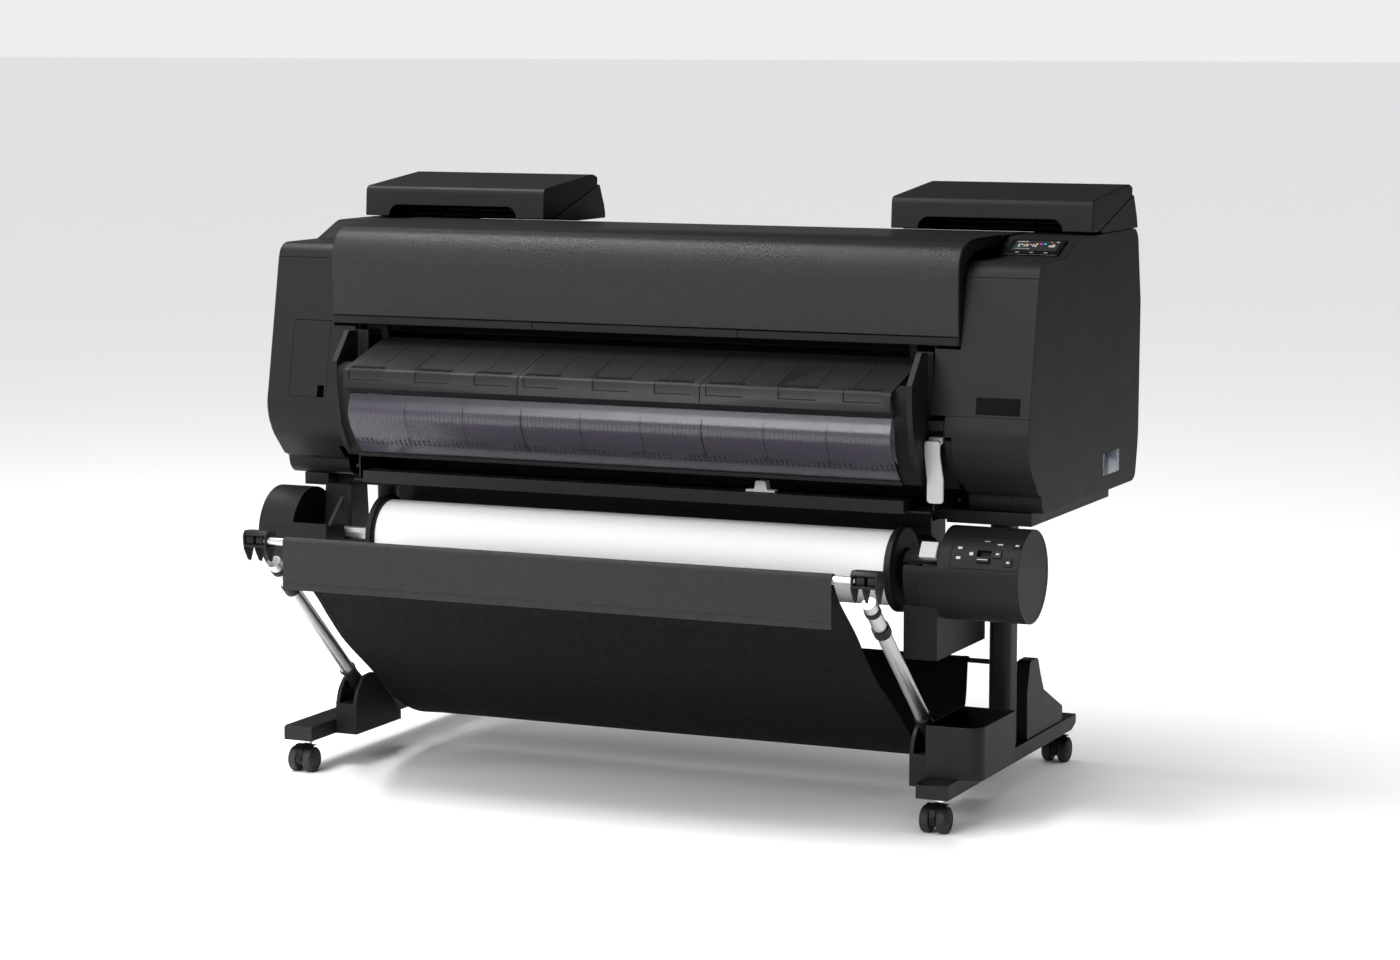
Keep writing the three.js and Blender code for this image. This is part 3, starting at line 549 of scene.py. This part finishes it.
def dress(piece, body, slot, material=None, soft=0.0, stands_for=(), smooth=38, clamp=False):
    """Gives a piece its body, finish and edge rounding. A piece without a body is the hanging cloth."""
    piece.data.materials.clear()
    piece.data.materials.append((material or SLOT_MATERIAL[slot]).material)
    if soft:
        bevel = piece.modifiers.new("soft_edges", "BEVEL")
        bevel.width = soft * MM
        bevel.segments = 3
        bevel.limit_method = "ANGLE"
        bevel.angle_limit = math.radians(smooth)
        bevel.use_clamp_overlap = clamp
    for polygon in piece.data.polygons:
        polygon.use_smooth = True
    piece.data.set_sharp_from_angle(angle=math.radians(180 if soft else smooth))
    if soft:
        weighted = piece.modifiers.new("even_shading", "WEIGHTED_NORMAL")
        weighted.weight = 60
        weighted.keep_sharp = True
    if body:
        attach(piece, body)
    else:
        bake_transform(piece)
    if stands_for:
        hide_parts(*stands_for)
    return piece


# ---------------------------------------------------------------- CAD nodes that are refined as they are

SIDES = [(-1, "left"), (1, "right")]
CASTER_PLACES = [f"{place}_{side}" for place in ("front", "rear") for side in ("left", "right")]
MADE_BELOW = {
    "left_cabinet", "right_cabinet", "maintenance_cover", "top_cover", "roll_cover", "release_lever",
    "basket_cloth", "left_rod_clip", "right_rod_clip",
    *(f"{place}_caster_{part}" for place in CASTER_PLACES for part in ("wheels", "yoke")),
}
PLAIN_EDGE = 0.7
SOFT_EDGE = {"left_ink_cover": 1.8, "right_ink_cover": 1.8}
for name in sorted(set(frame["nodes"]) - MADE_BELOW):
    edge = SOFT_EDGE.get(name, PLAIN_EDGE)
    dress(refined(name), NODE_BODY[name], NODE_SLOT[name], soft=edge, stands_for=[name])

# The ends of the roll bay frame carry mouldings in the colour of the cabinets.
BAY_HALF = 566
MOULDING_LOW = 610
bay_frame = bpy.data.objects["roll_bay_frame_shape"]
bay_frame.data.materials.append(CASE.material)
for polygon in bay_frame.data.polygons:
    if abs(polygon.center.x) > BAY_HALF * MM and polygon.center.z > MOULDING_LOW * MM:
        polygon.material_index = 1

# ---------------------------------------------------------------- roll cover and its window

SEGMENT_EDGES = [-BAY_HALF, -188.7, 188.7, BAY_HALF]
SLOPE_PANELS = 15
PANELS_IN_SEGMENT = 5
GROOVE_WIDTH = 1.1
GROOVE_DEPTH = 1.2
RIDGE_Y = -30
RIDGE_Z = 834
SLOPE_DROP = 33
SLOPE_DEPTH = 110
PAD_OFFSETS = [49, 194, 322]
PAD_HALF = 37.5
PAD_SCALLOPS = 8
PAD_MIDDLES = [left + offset for left in SEGMENT_EDGES[:3] for offset in PAD_OFFSETS]


def slope_z(y):
    """Height of the roll cover's top sheet."""
    return RIDGE_Z + (y - RIDGE_Y) * SLOPE_DROP / SLOPE_DEPTH


roll_cover = refined("roll_cover")
groove = [(18, slope_z(18) - GROOVE_DEPTH + 3), (RIDGE_Y, RIDGE_Z - GROOVE_DEPTH),
          (-136, slope_z(-136) - GROOVE_DEPTH), (-136, 860), (18, 870)]
segment_seam = [(18, slope_z(18) - 1), (-30, 832), (-139, 799), (-144.8, 794.5), (-144.8, 766),
                (-160, 760), (-160, 830), (18, 870)]
pad_recess = [(-133, 803.6), (-140, 800.3), (-145.2, 795.2), (-145.6, 779), (-152, 777), (-152, 812),
              (-133, 818)]
cutters = []
for index in range(1, SLOPE_PANELS):
    if index % PANELS_IN_SEGMENT:
        x = -BAY_HALF + index * 2 * BAY_HALF / SLOPE_PANELS
        cutters.append(prism("cut_groove", "x", groove, (x - GROOVE_WIDTH / 2, x + GROOVE_WIDTH / 2)))
for x in SEGMENT_EDGES[1:3]:
    cutters.append(prism("cut_seam", "x", segment_seam, (x - 0.8, x + 0.8)))
for middle in PAD_MIDDLES:
    cutters.append(prism("cut_pad", "x", pad_recess, (middle - PAD_HALF, middle + PAD_HALF)))
roll_cover = cut(roll_cover, joined("roll_cover_cuts", *cutters))
dress(roll_cover, "roll_cover", "case_plastic", stands_for=["roll_cover"], smooth=32)

# The rear edge of each pad is scalloped, and its front edge has a fine ledge.
pad_ledge = [(-144.4, 782.4), (-146.0, 782.0, 0.4), (-146.0, 780.2, 0.4), (-144.4, 779.6)]
pad_parts = []
for middle in PAD_MIDDLES:
    for index in range(PAD_SCALLOPS):
        x = middle - PAD_HALF + (index + 0.5) * 2 * PAD_HALF / PAD_SCALLOPS
        scallop = [(x - 3.9, 803.2), (x + 3.9, 803.2), (x + 3.2, 805.6, 1.5), (x - 3.2, 805.6, 1.5)]
        pad_parts.append(prism("scallop", "y", scallop, (-136.2, -131.8)))
    pad_parts.append(prism("ledge", "x", pad_ledge, (middle - PAD_HALF, middle + PAD_HALF)))
dress(joined("roll_cover_pads", *pad_parts), "roll_cover", "dark_plastic", smooth=35)

WINDOW_LINE = [(-126, 751.5), (-138, 713), (-119, 673), (-82, 632)]
WINDOW_HALF = 562
WINDOW_PANELS = 9
RIBS_IN_PANEL = 12
FINE_RIBS_IN_PANEL = 14
window_curve = spline(WINDOW_LINE, 12)


def window_strip(name, start, stop, middle, half, height):
    """A strip on the window's face, between two shares of its length from the top."""
    count = len(window_curve) - 1
    part = window_curve[round(start * count): round(stop * count) + 1]
    return prism(name, "x", thick(part, -height), (middle - half, middle + half))


def window_x(panel):
    """A position across the window, counted in panels from its left end."""
    return -WINDOW_HALF + panel * 2 * WINDOW_HALF / WINDOW_PANELS


strips = []
for index in range(1, WINDOW_PANELS):
    half = 1.3 if index % 3 == 0 else 0.7
    strips.append(window_strip("panel_line", 0, 1, window_x(index), half, 0.35))
dress(joined("window_panel_lines", *strips), "roll_cover", "dark_plastic", smooth=30)
strips = [window_strip("sill", 0.9, 1, 0, WINDOW_HALF, 0.7)]
for index in range(WINDOW_PANELS):
    for rib in range(RIBS_IN_PANEL):
        share = (rib + 0.5) / RIBS_IN_PANEL
        top = 0.8 - 0.055 * abs(math.cos(math.pi * share)) - 0.01 * (rib % 2)
        strips.append(window_strip("rib", top, 0.92, window_x(index + share), 2.3, 0.5))
dress(joined("window_comb", *strips), "roll_cover", "case_plastic", smooth=30)
strips = []
for index in range(WINDOW_PANELS * FINE_RIBS_IN_PANEL):
    x = window_x((index + 0.5) / FINE_RIBS_IN_PANEL)
    strips.append(window_strip("fine", 0.14, 0.8, x, 0.35, 0.25))
dress(joined("window_fine_ribs", *strips), "roll_cover", "smoked_window", FINE_RIB, smooth=30)
strips = []
for x, wide in ((-528, 7), (-364, 10), (-60, 14), (117, 14)):
    strips.append(window_strip("dash", 0.05, 0.09, x - 0.3 * wide, 0.7 * wide, 0.3))
    strips.append(window_strip("tick", 0.0, 0.12, x + wide + 2.8, 0.8, 0.3))
dress(joined("window_width_marks", *strips), "roll_cover", "smoked_window", PRINT, smooth=30)

# ---------------------------------------------------------------- release lever

lever_outline = [(601, 706.5, 5), (631, 706.5, 5), (631, 682, 16), (638.5, 636, 20), (638.5, 591.5, 7),
                 (606.5, 591.5, 7), (606.5, 634, 20), (601, 680, 16)]
lever_parts = [
    prism("lever_face", "y", lever_outline, (-65, -59), soft=2.2, segments=4),
    box("lever_neck", (604, 628), (-63, -40), (697, 706), 2),
    turned("lever_boss", [(0, 604), (6, 604), (6, 630), (0, 630)], (-44, 706), 32),
]
lever = joined("release_lever_grip", *lever_parts)
dress(lever, "release_lever", "light_grey_plastic", smooth=40, stands_for=["release_lever"])

# ---------------------------------------------------------------- casters

AXLE_Z = 25
STEM_OFFSET = 15
TYRE = [(4.2, 6.6), (20.5, 7), (24.2, 8.2), (25, 10.2), (25, 20.5), (24.1, 23.4), (21, 25.6), (17.2, 26.4),
        (16.8, 25.2), (9.8, 25.8), (9.2, 26.8), (0, 27)]
HOOD = [(-20, 17, 3), (-23.5, 30, 8), (-18, 46, 9), (-2, 54.5, 8), (15, 55, 6), (24, 49, 5), (22, 38, 4),
        (12, 14, 5), (-8, 12, 3)]
GUARD = [(-19, 36, 3), (-14, 47, 7), (2, 52.5, 6), (14, 52.5, 3), (14, 50.8, 1), (2, 50.9, 5),
         (-12.4, 45.5, 6), (-17.4, 36)]
STEM = [(0, 54), (9.2, 54), (9.2, 58.2), (8.2, 59.4), (6, 60.2), (5.2, 61), (5.2, 65.2), (0, 65.2)]


def moved(outline, y):
    return [(y + corner[0], *corner[1:]) for corner in outline]


for place in CASTER_PLACES:
    low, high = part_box(f"{place}_caster_wheels")
    x = (low.x + high.x) / 2 / MM
    y = (low.y + high.y) / 2 / MM - SEAM_Y
    profile = [*[(r, x - s) for r, s in reversed(TYRE)], *[(r, x + s) for r, s in TYRE]]
    wheels = turned(f"{place}_wheels", profile, (y, AXLE_Z), 72)
    dress(wheels, NODE_BODY[f"{place}_caster_wheels"], "caster_rubber", smooth=35,
          stands_for=[f"{place}_caster_wheels"])
    body = NODE_BODY[f"{place}_caster_yoke"]
    hood = [
        prism("hood", "x", moved(HOOD, y), (x - 6.2, x + 6.2), soft=1),
        prism("guard", "x", moved(GUARD, y), (x - 20, x + 20), soft=0.8),
        box("latch", (x - 5.2, x + 5.2), (y - 24.6, y - 20), (22, 33), 0.9),
        turned("hub", [(0, x - 9), (4.3, x - 9), (4.3, x + 9), (0, x + 9)], (y, AXLE_Z), 24),
    ]
    dress(joined(f"{place}_hood", *hood), body, "dark_plastic", smooth=40,
          stands_for=[f"{place}_caster_yoke"])
    stem = turned(f"{place}_stem", STEM, (x, y + STEM_OFFSET), 48, "z")
    dress(stem, body, "chrome", smooth=35)

# ---------------------------------------------------------------- catch basket

ROD_Y = -392
ROD_Z = 494.5
SLING = [(-390, 484), (-360, 446), (-283, 379), (-234, 329), (-174, 274), (-80, 208), (-22, 164), (54, 111),
         (130, 80), (195, 72.5), (262, 92), (300, 150), (311.5, 222), (311.2, 236), (318, 241), (324.5, 235)]
CLOTH_HALF = 555
CLOTH_THICKNESS = 1.1
SLEEVE_RADIUS = 9.4
SLEEVE_STEPS = 18
FLAP_Y = -401.6
HEM_HALF = 6


def sleeve(start, stop):
    """Part of a turn round the front rod, from one angle to another, in degrees from +y."""
    line = []
    for step in range(SLEEVE_STEPS + 1):
        angle = math.radians(start + (stop - start) * step / SLEEVE_STEPS)
        way = Vector((math.cos(angle), math.sin(angle)))
        line.append(Vector((ROD_Y, ROD_Z)) + way * SLEEVE_RADIUS)
    return line


def cloth_sheet(name, line, half, columns, thickness, wave):
    """A sheet of fabric across the machine that follows a line, with soft waves."""
    bm = bmesh.new()
    length = [0]
    for a, b in zip(line, line[1:]):
        length.append(length[-1] + (b - a).length)
    rows = []
    for index, here in enumerate(line):
        before = line[max(index - 1, 0)]
        after = line[min(index + 1, len(line) - 1)]
        way = (after - before).normalized()
        normal = Vector((-way.y, way.x))
        share = length[index] / length[-1]
        row = []
        for column in range(columns + 1):
            x = -half + 2 * half * column / columns
            push = wave(x / half, share)
            row.append(bm.verts.new((x, here.x + normal.x * push, here.y + normal.y * push)))
        rows.append(row)
    for row, after in zip(rows, rows[1:]):
        for k in range(columns):
            bm.faces.new((row[k], row[k + 1], after[k + 1], after[k]))
    to_frame(bm)
    made = as_object(name, bm)
    solid = made.modifiers.new("thickness", "SOLIDIFY")
    solid.thickness = thickness * MM
    solid.offset = 0
    graph = bpy.context.evaluated_depsgraph_get()
    mesh = bpy.data.meshes.new_from_object(made.evaluated_get(graph))
    made.modifiers.clear()
    made.data = mesh
    return made, length[-1]


def sling_wave(u, share):
    """Ripples of the sling at u from -1 to 1 across it; its outer edges sink a little."""
    middle = math.sin(math.pi * share) ** 1.2
    ripple = 1.6 * math.sin(5 * u + 3 * share) * math.sin(2.5 * math.pi * share + 0.6)
    sink = -1.8 * max(0, abs(u) - 0.93) / 0.07
    return middle * ripple + sink * middle


def flap_wave(u, share):
    """The flap waves more toward its lower edge."""
    return share * (1.1 * math.sin(3.1 * u + 0.5) + 0.5 * math.sin(9 * u))


def flap_hem_wave(u, share):
    return flap_wave(u, 0.93)


def no_wave(u, share):
    return 0.0


sling_line = spline(SLING, 8)
sling, sling_length = cloth_sheet("sling", sling_line, CLOTH_HALF, 120, CLOTH_THICKNESS, sling_wave)
dress(sling, None, "basket_fabric", stands_for=["basket_cloth"], smooth=60)
flap_line = [*sleeve(-60, 180), *[Vector((FLAP_Y, z)) for z in range(490, 404, -6)]]
flap, flap_length = cloth_sheet("front_flap", flap_line, CLOTH_HALF, 100, CLOTH_THICKNESS, flap_wave)
dress(flap, "basket_frame", "basket_fabric", FLAP, smooth=60)
hems = []
for side in (-1, 1):
    strip, _ = cloth_sheet("side_hem", sling_line, HEM_HALF, 2, 2.2, no_wave)
    strip.data.transform(Matrix.Translation((side * (CLOTH_HALF - HEM_HALF) * MM, 0, 0)))
    hems.append(strip)
side_hems = joined("sling_side_hems", *hems)
dress(side_hems, None, "basket_fabric", smooth=60)
hem_line = [Vector((FLAP_Y, z)) for z in (418, 414, 410, 406)]
flap_hem, _ = cloth_sheet("flap_hem", hem_line, CLOTH_HALF, 100, 2.4, flap_hem_wave)
dress(flap_hem, "basket_frame", "basket_fabric", FLAP, smooth=60)

# Black socket, collar and ring on each silver arm.
ARM_X = 606
ARM_PIVOT = Vector((-30, 156))
ARM_RISE = math.radians(42.4)
ARM_WAY = Vector((-math.cos(ARM_RISE), math.sin(ARM_RISE)))
SOCKET_END = 62.5
COLLAR_START = 337
COLLAR_END = 361
JAWS = [(600, 616), (621, 638)]
PRONGS = [591, 613, 637]
EARS = [591, 637.4]
PRONG = [(-403.5, 488, 3), (-402, 478, 3), (-388, 456, 3), (-380, 452.5, 2), (-372, 470, 3), (-363, 488, 3)]
CAP = [(-403, 505, 3), (-396, 513, 4), (-368, 511, 5), (-364, 500, 3), (-367, 499), (-371, 507, 3),
       (-393, 509, 4), (-399, 503)]
EAR = [(-402.5, 484, 4), (-403.5, 504, 6), (-395, 513, 5), (-368, 511, 6), (-363.5, 486, 4)]


def on_arm(side, *stations):
    """Points on an arm's axis, at distances from its pivot."""
    places = [ARM_PIVOT + ARM_WAY * station for station in stations]
    return [(side * ARM_X, place.x, place.y) for place in places]


for side, name in SIDES:
    arm = bpy.data.objects[f"{name}_arm_shape"]
    arm.data.materials.append(DARK.material)
    for polygon in arm.data.polygons:
        place = Vector((polygon.center.y / MM - SEAM_Y, polygon.center.z / MM)) - ARM_PIVOT
        station = place.dot(ARM_WAY)
        if station < SOCKET_END or COLLAR_START < station < COLLAR_END:
            polygon.material_index = 1
    ring = rod(f"{name}_arm_top_ring", on_arm(side, 402, 405, 412, 416), 15.2, 40)
    dress(ring, "basket_frame", "dark_plastic", smooth=35)
    lip = rod(f"{name}_socket_lip", on_arm(side, 57, 60, 64), 16.4, 40)
    dress(lip, "basket_frame", "dark_plastic", smooth=35)
    # The clip holds the rod in two jaws over three pronged plates.
    parts = []
    for start, stop in JAWS:
        jaw = [(7.6, start), (13.6, start), (14.6, start + 1.2), (14.6, stop - 1.2), (13.6, stop),
               (7.6, stop)]
        parts.append(turned("jaw", jaw, (ROD_Y + 8, ROD_Z - 1), 40))
    for x in PRONGS:
        parts.append(prism("prong", "x", PRONG, (x, x + 3.4), soft=0.7))
    parts.append(box("web", (591, 640), (-402, -364), (482, 486.5), 1.4))
    parts.append(prism("cap", "x", CAP, (590.5, 641.5), soft=0.8))
    for x in EARS:
        parts.append(prism("ear", "x", EAR, (x, x + 4), soft=1))
    clip = joined(f"{name}_clip", *parts)
    if side < 0:
        clip.data.transform(Matrix.Scale(-1, 4, (1, 0, 0)))
        clip.data.flip_normals()
    dress(clip, "basket_frame", "dark_plastic", smooth=35, stands_for=[f"{name}_rod_clip"])

# ---------------------------------------------------------------- top cover

COVER_HALF = 654.6
cover = round_ends(refined("top_cover"), [-COVER_HALF, COVER_HALF], 5)
# One groove runs along the front and two short ones stand below it.
cover_grooves = [box("long_groove", (-COVER_HALF - 2, COVER_HALF + 2), (-36, -30.6), (893.4, 894.6), 0)]
for x in (-216, 214):
    cover_grooves.append(box("short_groove", (x - 0.6, x + 0.6), (-36, -30.2), (876, 894), 0))
cover = cut(cover, joined("cover_cuts", *cover_grooves))
dress(cover, "top_cover", "case_plastic", soft=1.6, stands_for=["top_cover"])
cover.data.materials.append(LEATHER.material)
LEATHER_LOW = 894.5
LEATHER_BACK = 30
for polygon in cover.data.polygons:
    place = polygon.center
    in_front = place.y / MM - SEAM_Y < LEATHER_BACK
    if polygon.normal.y < -0.25 and place.z > LEATHER_LOW * MM and in_front:
        polygon.material_index = 1
COVER_BOSS = [(0, 654.2), (6.5, 654.2), (6.5, 656.2), (5.6, 657), (0, 657)]
for side, name in SIDES:
    profile = [(radius, side * station) for radius, station in COVER_BOSS]
    boss = turned(f"cover_{name}_boss", profile, (34, 1045), 36)
    dress(boss, "top_cover", "case_plastic", smooth=35)

# ---------------------------------------------------------------- cabinets

SIDE_X = 796.5
for side, name in SIDES:
    shell = round_ends(refined(f"{name}_cabinet"), [side * SIDE_X], 8)
    seam = box("cap_seam", sorted((side * 640, side * 795.4)), (-60, 6), (1002.6, 1003.6), 0)
    shell = cut(shell, seam)
    dress(shell, "root", "case_plastic", soft=0.8, stands_for=[f"{name}_cabinet"], clamp=True)

maintenance_cover = round_ends(refined("maintenance_cover"), [SIDE_X], 8)
dress(maintenance_cover, "maintenance_cover", "case_plastic", soft=0.9, stands_for=["maintenance_cover"])
plate_outline = [(-38, 787.5), (-41.5, 787.5, 0.6), (-47.1, 757, 0.6), (-43.5, 757)]
plate = prism("nameplate", "x", plate_outline, (693, 777), soft=0.4)
dress(plate, "root", "screen", NAMEPLATE, smooth=35)
# The lower panel is held by two screws on each side of the machine.
SCREW_PROFILE = [(0, 32), (4.2, 32), (4.2, 29.6), (3.2, 28.8), (0, 28.8)]
for side, name in SIDES:
    for x in (636, 732):
        screw = turned(f"{name}_panel_screw_{x}", SCREW_PROFILE, (side * x, 588), 24, "y")
        dress(screw, "root", "case_plastic", DARK, smooth=35)
sticker = box("side_label", (796.2, 796.7), (396, 499), (598, 641), 0.2)
dress(sticker, "root", "light_grey_plastic", LABEL, smooth=35)

# ---------------------------------------------------------------- display and keys

DISPLAY_X = 725
DISPLAY_FOOT = Vector((150, 1031))
SCREEN_ANGLE = math.atan2(34, 86)
SCREEN_UP = Vector((math.cos(SCREEN_ANGLE), math.sin(SCREEN_ANGLE)))
SCREEN_OUT = Vector((-SCREEN_UP.y, SCREEN_UP.x))
GLASS_LEVEL = 3.0
PICTURE_LEVEL = 3.1


def on_screen(name, across, up, wide, high, level=GLASS_LEVEL, thickness=0.25):
    """A thin patch on the display, centred at a place in mm from the display's lower middle."""
    start = DISPLAY_FOOT + SCREEN_UP * (up - high / 2) + SCREEN_OUT * level
    stop = start + SCREEN_UP * high
    raised = SCREEN_OUT * thickness
    corners = [tuple(start), tuple(stop), tuple(stop + raised), tuple(start + raised)]
    return prism(name, "x", corners, (DISPLAY_X + across - wide / 2, DISPLAY_X + across + wide / 2))


def lit(name, colour, strength):
    """A patch of the display that glows."""
    shader = Shader(name)
    shader.feed("Base Color", shader.mixed(shader.noise(500, 3, 0.6), colour, tuple(0.8 * c for c in colour)))
    shader.feed("Roughness", shader.ramp(shader.noise(300, 3, 0.6), 0.3, 0.4))
    shader.set(Emission_Color=(*colour, 1), Emission_Strength=strength)
    return shader


SCREEN_LIT = lit("screen_picture", (0.02, 0.021, 0.024), 0.3)
SCREEN_TEXT = lit("screen_marks", (0.34, 0.34, 0.34), 0.45)
picture = on_screen("screen_picture", 0, 47, 88, 44, GLASS_LEVEL, 0.1)
dress(picture, "root", "screen", SCREEN_LIT, smooth=30)
marks = []
for across, up, wide, high in ((-30, 63, 22, 2.2), (26, 63, 3, 2.2), (38, 63, 5, 3), (-24, 33, 30, 1.2),
                               (31, 45, 12, 7)):
    marks.append(on_screen("mark", across, up, wide, high, PICTURE_LEVEL))
for index in range(7):
    up = 48 + 3 * math.sin(index * 1.9)
    high = 8 + 4 * math.cos(index * 2.3)
    marks.append(on_screen("bar", -34 + index * 5.6, up, 3.2, high, PICTURE_LEVEL))
dress(joined("screen_text", *marks), "root", "screen", SCREEN_TEXT, smooth=30)
SCREEN_DOTS = [("orange", -20, 52, (0.7, 0.16, 0.05)), ("yellow", 0, 54, (0.7, 0.5, 0.05)),
               ("magenta", 8, 54, (0.7, 0.06, 0.6)), ("cyan", 16, 54, (0.05, 0.55, 0.7)),
               ("green", -32, 42, (0.05, 0.4, 0.1)), ("amber", 33, 52, (0.6, 0.2, 0.1))]
for name, across, up, colour in SCREEN_DOTS:
    dot = on_screen(f"screen_{name}", across, up, 4, 4, PICTURE_LEVEL, 0.3)
    dress(dot, "root", "screen", lit(f"screen_{name}", colour, 0.45), smooth=30)
touch = [on_screen("touch", x, 17, 7, 1.6) for x in (-28, 0, 28)]
dress(joined("screen_touch_marks", *touch), "root", "screen", PRINT, smooth=30)

# The control strip of the right roll housing: a frame line, arrow marks and lines on the keys.
DRUM_AXIS = Vector((-15, 460))
STRIP_FACE = 86.6
PRINT_FACE = 86.7
PRINT_TOP = 87.3


def on_drum(name, xs, degrees, half, low, high):
    """A block on the front of the drum at an angle above the horizontal, between two radii."""
    way = Vector((-math.cos(math.radians(degrees)), math.sin(math.radians(degrees))))
    side_way = Vector((way.y, -way.x))
    corners = [DRUM_AXIS + way * low - side_way * half, DRUM_AXIS + way * high - side_way * half,
               DRUM_AXIS + way * high + side_way * half, DRUM_AXIS + way * low + side_way * half]
    return prism(name, "x", [tuple(c) for c in corners], xs)


lines = [on_drum("strip_low", (664, 795), 14, 0.5, STRIP_FACE, 87.25),
         on_drum("strip_high", (664, 795), 59.5, 0.5, STRIP_FACE, 87.25)]
for degrees in range(16, 60, 2):
    lines.append(on_drum("strip_end", (663.6, 664.6), degrees, 1.55, STRIP_FACE, 87.2))
dress(joined("control_strip_lines", *lines), "root", "case_plastic", NAMEPLATE, smooth=30)
marks = []
for xs, degrees, half in (((675, 683), 40, 2.4), ((675, 683), 27, 2.4), ((699, 706), 33, 3),
                          ((722, 732), 52, 0.8), ((748, 758), 48, 1.2)):
    marks.append(on_drum("mark", xs, degrees, half, PRINT_FACE, PRINT_TOP))
dress(joined("control_strip_marks", *marks), "root", "light_grey_plastic", PRINT, smooth=30)
KEY_FACE = 88.5
for key, x, degrees in (("load_key", 753, 33.9), ("up_key", 786, 47), ("down_key", 775, 24.1)):
    mark = on_drum(f"{key}_mark", (x - 3, x + 3), degrees, 1.6, KEY_FACE - 0.1, KEY_FACE + 0.3)
    dress(mark, NODE_BODY[key], "light_grey_plastic", PRINT, smooth=30)
line = on_drum("drive_switch_line", (717, 737), 30 - 4.6, 0.7, 91.6, 92.4)
dress(line, NODE_BODY["drive_switch"], "light_grey_plastic", PRINT, smooth=30)
ring_profile = [(80.5, 796.4), (86.2, 796.4), (86.2, 795.6), (80.5, 795.6)]
cap_ring = turned("right_drum_cap_ring", ring_profile, DRUM_AXIS, 96)
dress(cap_ring, "root", "case_plastic", DARK, smooth=35)

# ---------------------------------------------------------------- studio

bpy.context.scene.view_settings.view_transform = "Standard"

floor_shader = Shader("studio_floor")
# The floor's colour is darkened to the right of the machine: painted shade, as a black flag on that side
# would cast.
floor_place = floor_shader.nodes.new("ShaderNodeNewGeometry").outputs["Position"]
painted_floor_shade = floor_shader.nodes.new("ShaderNodeVectorMath")
painted_floor_shade.operation = "DOT_PRODUCT"
painted_floor_shade.inputs[1].default_value = (0.975, 0.221, 0)
floor_shader.links.new(floor_place, painted_floor_shade.inputs[0])
# Painted shade: the floor's base colour falls from 0.92 to 0.4 toward the machine's right.
floor_shader.feed("Base Color", floor_shader.ramp(painted_floor_shade.outputs["Value"], 0.92, 0.4, 1.7, 4.4))
floor_shader.set(Roughness=0.95, Specular_IOR_Level=0.0)
FLOOR_HALF = 150
bm = bmesh.new()
bmesh.ops.create_grid(bm, x_segments=1, y_segments=1, size=FLOOR_HALF)
floor = as_object("studio_floor", bm)
floor.data.materials.append(floor_shader.material)
floor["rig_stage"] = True

# The world is pale along the horizon and dark overhead, and dark on the machine's right.
world = bpy.data.worlds.new("world")
bpy.context.scene.world = world
world.use_nodes = True
sky = world.node_tree.nodes
link = world.node_tree.links.new
sky_place = sky.new("ShaderNodeTexCoord")
sky_split = sky.new("ShaderNodeSeparateXYZ")
sky_both = sky.new("ShaderNodeMath")
sky_both.operation = "MULTIPLY"
sky["Background"].inputs["Color"].default_value = (1, 1, 1, 1)
link(sky_place.outputs["Generated"], sky_split.inputs["Vector"])
link(ranged(world.node_tree, sky_split.outputs["Z"], 0.86, 0.03, 0.02, 0.22), sky_both.inputs[0])
link(ranged(world.node_tree, sky_split.outputs["X"], 1.0, 0.04, -0.16, 0.2, "SMOOTHSTEP"), sky_both.inputs[1])
link(sky_both.outputs[0], sky["Background"].inputs["Strength"])

# A soft light of its own falls on the floor only.
stage_only = bpy.data.collections.new("stage_only")
stage_only.objects.link(floor)
sun_data = bpy.data.lights.new("floor_light", "SUN")
sun_data.energy = 2.5
sun_data.angle = math.radians(120)
sun = bpy.data.objects.new("floor_light", sun_data)
bpy.context.scene.collection.objects.link(sun)
sun.light_linking.receiver_collection = stage_only


def softbox(name, at, aim, size, power):
    """A rectangular lamp at a place, turned toward another."""
    light = bpy.data.lights.new(name, "AREA")
    light.shape = "RECTANGLE"
    light.size = size[0]
    light.size_y = size[1]
    light.energy = power
    lamp = bpy.data.objects.new(name, light)
    lamp.location = at
    lamp.rotation_euler = (Vector(aim) - Vector(at)).to_track_quat("-Z", "Y").to_euler()
    bpy.context.scene.collection.objects.link(lamp)


softbox("key_front", (-1.2, -5.2, 3.1), (0, 0, 0.6), (3.2, 2.0), 185)
softbox("overhead", (-1.3, -0.75, 3.6), (-0.2, -0.25, 1.0), (3.6, 0.7), 170)
softbox("edge_left", (-4.2, -2.0, 1.9), (-0.6, 0, 0.8), (1.2, 2.2), 30)

# ---------------------------------------------------------------- end

low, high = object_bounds()
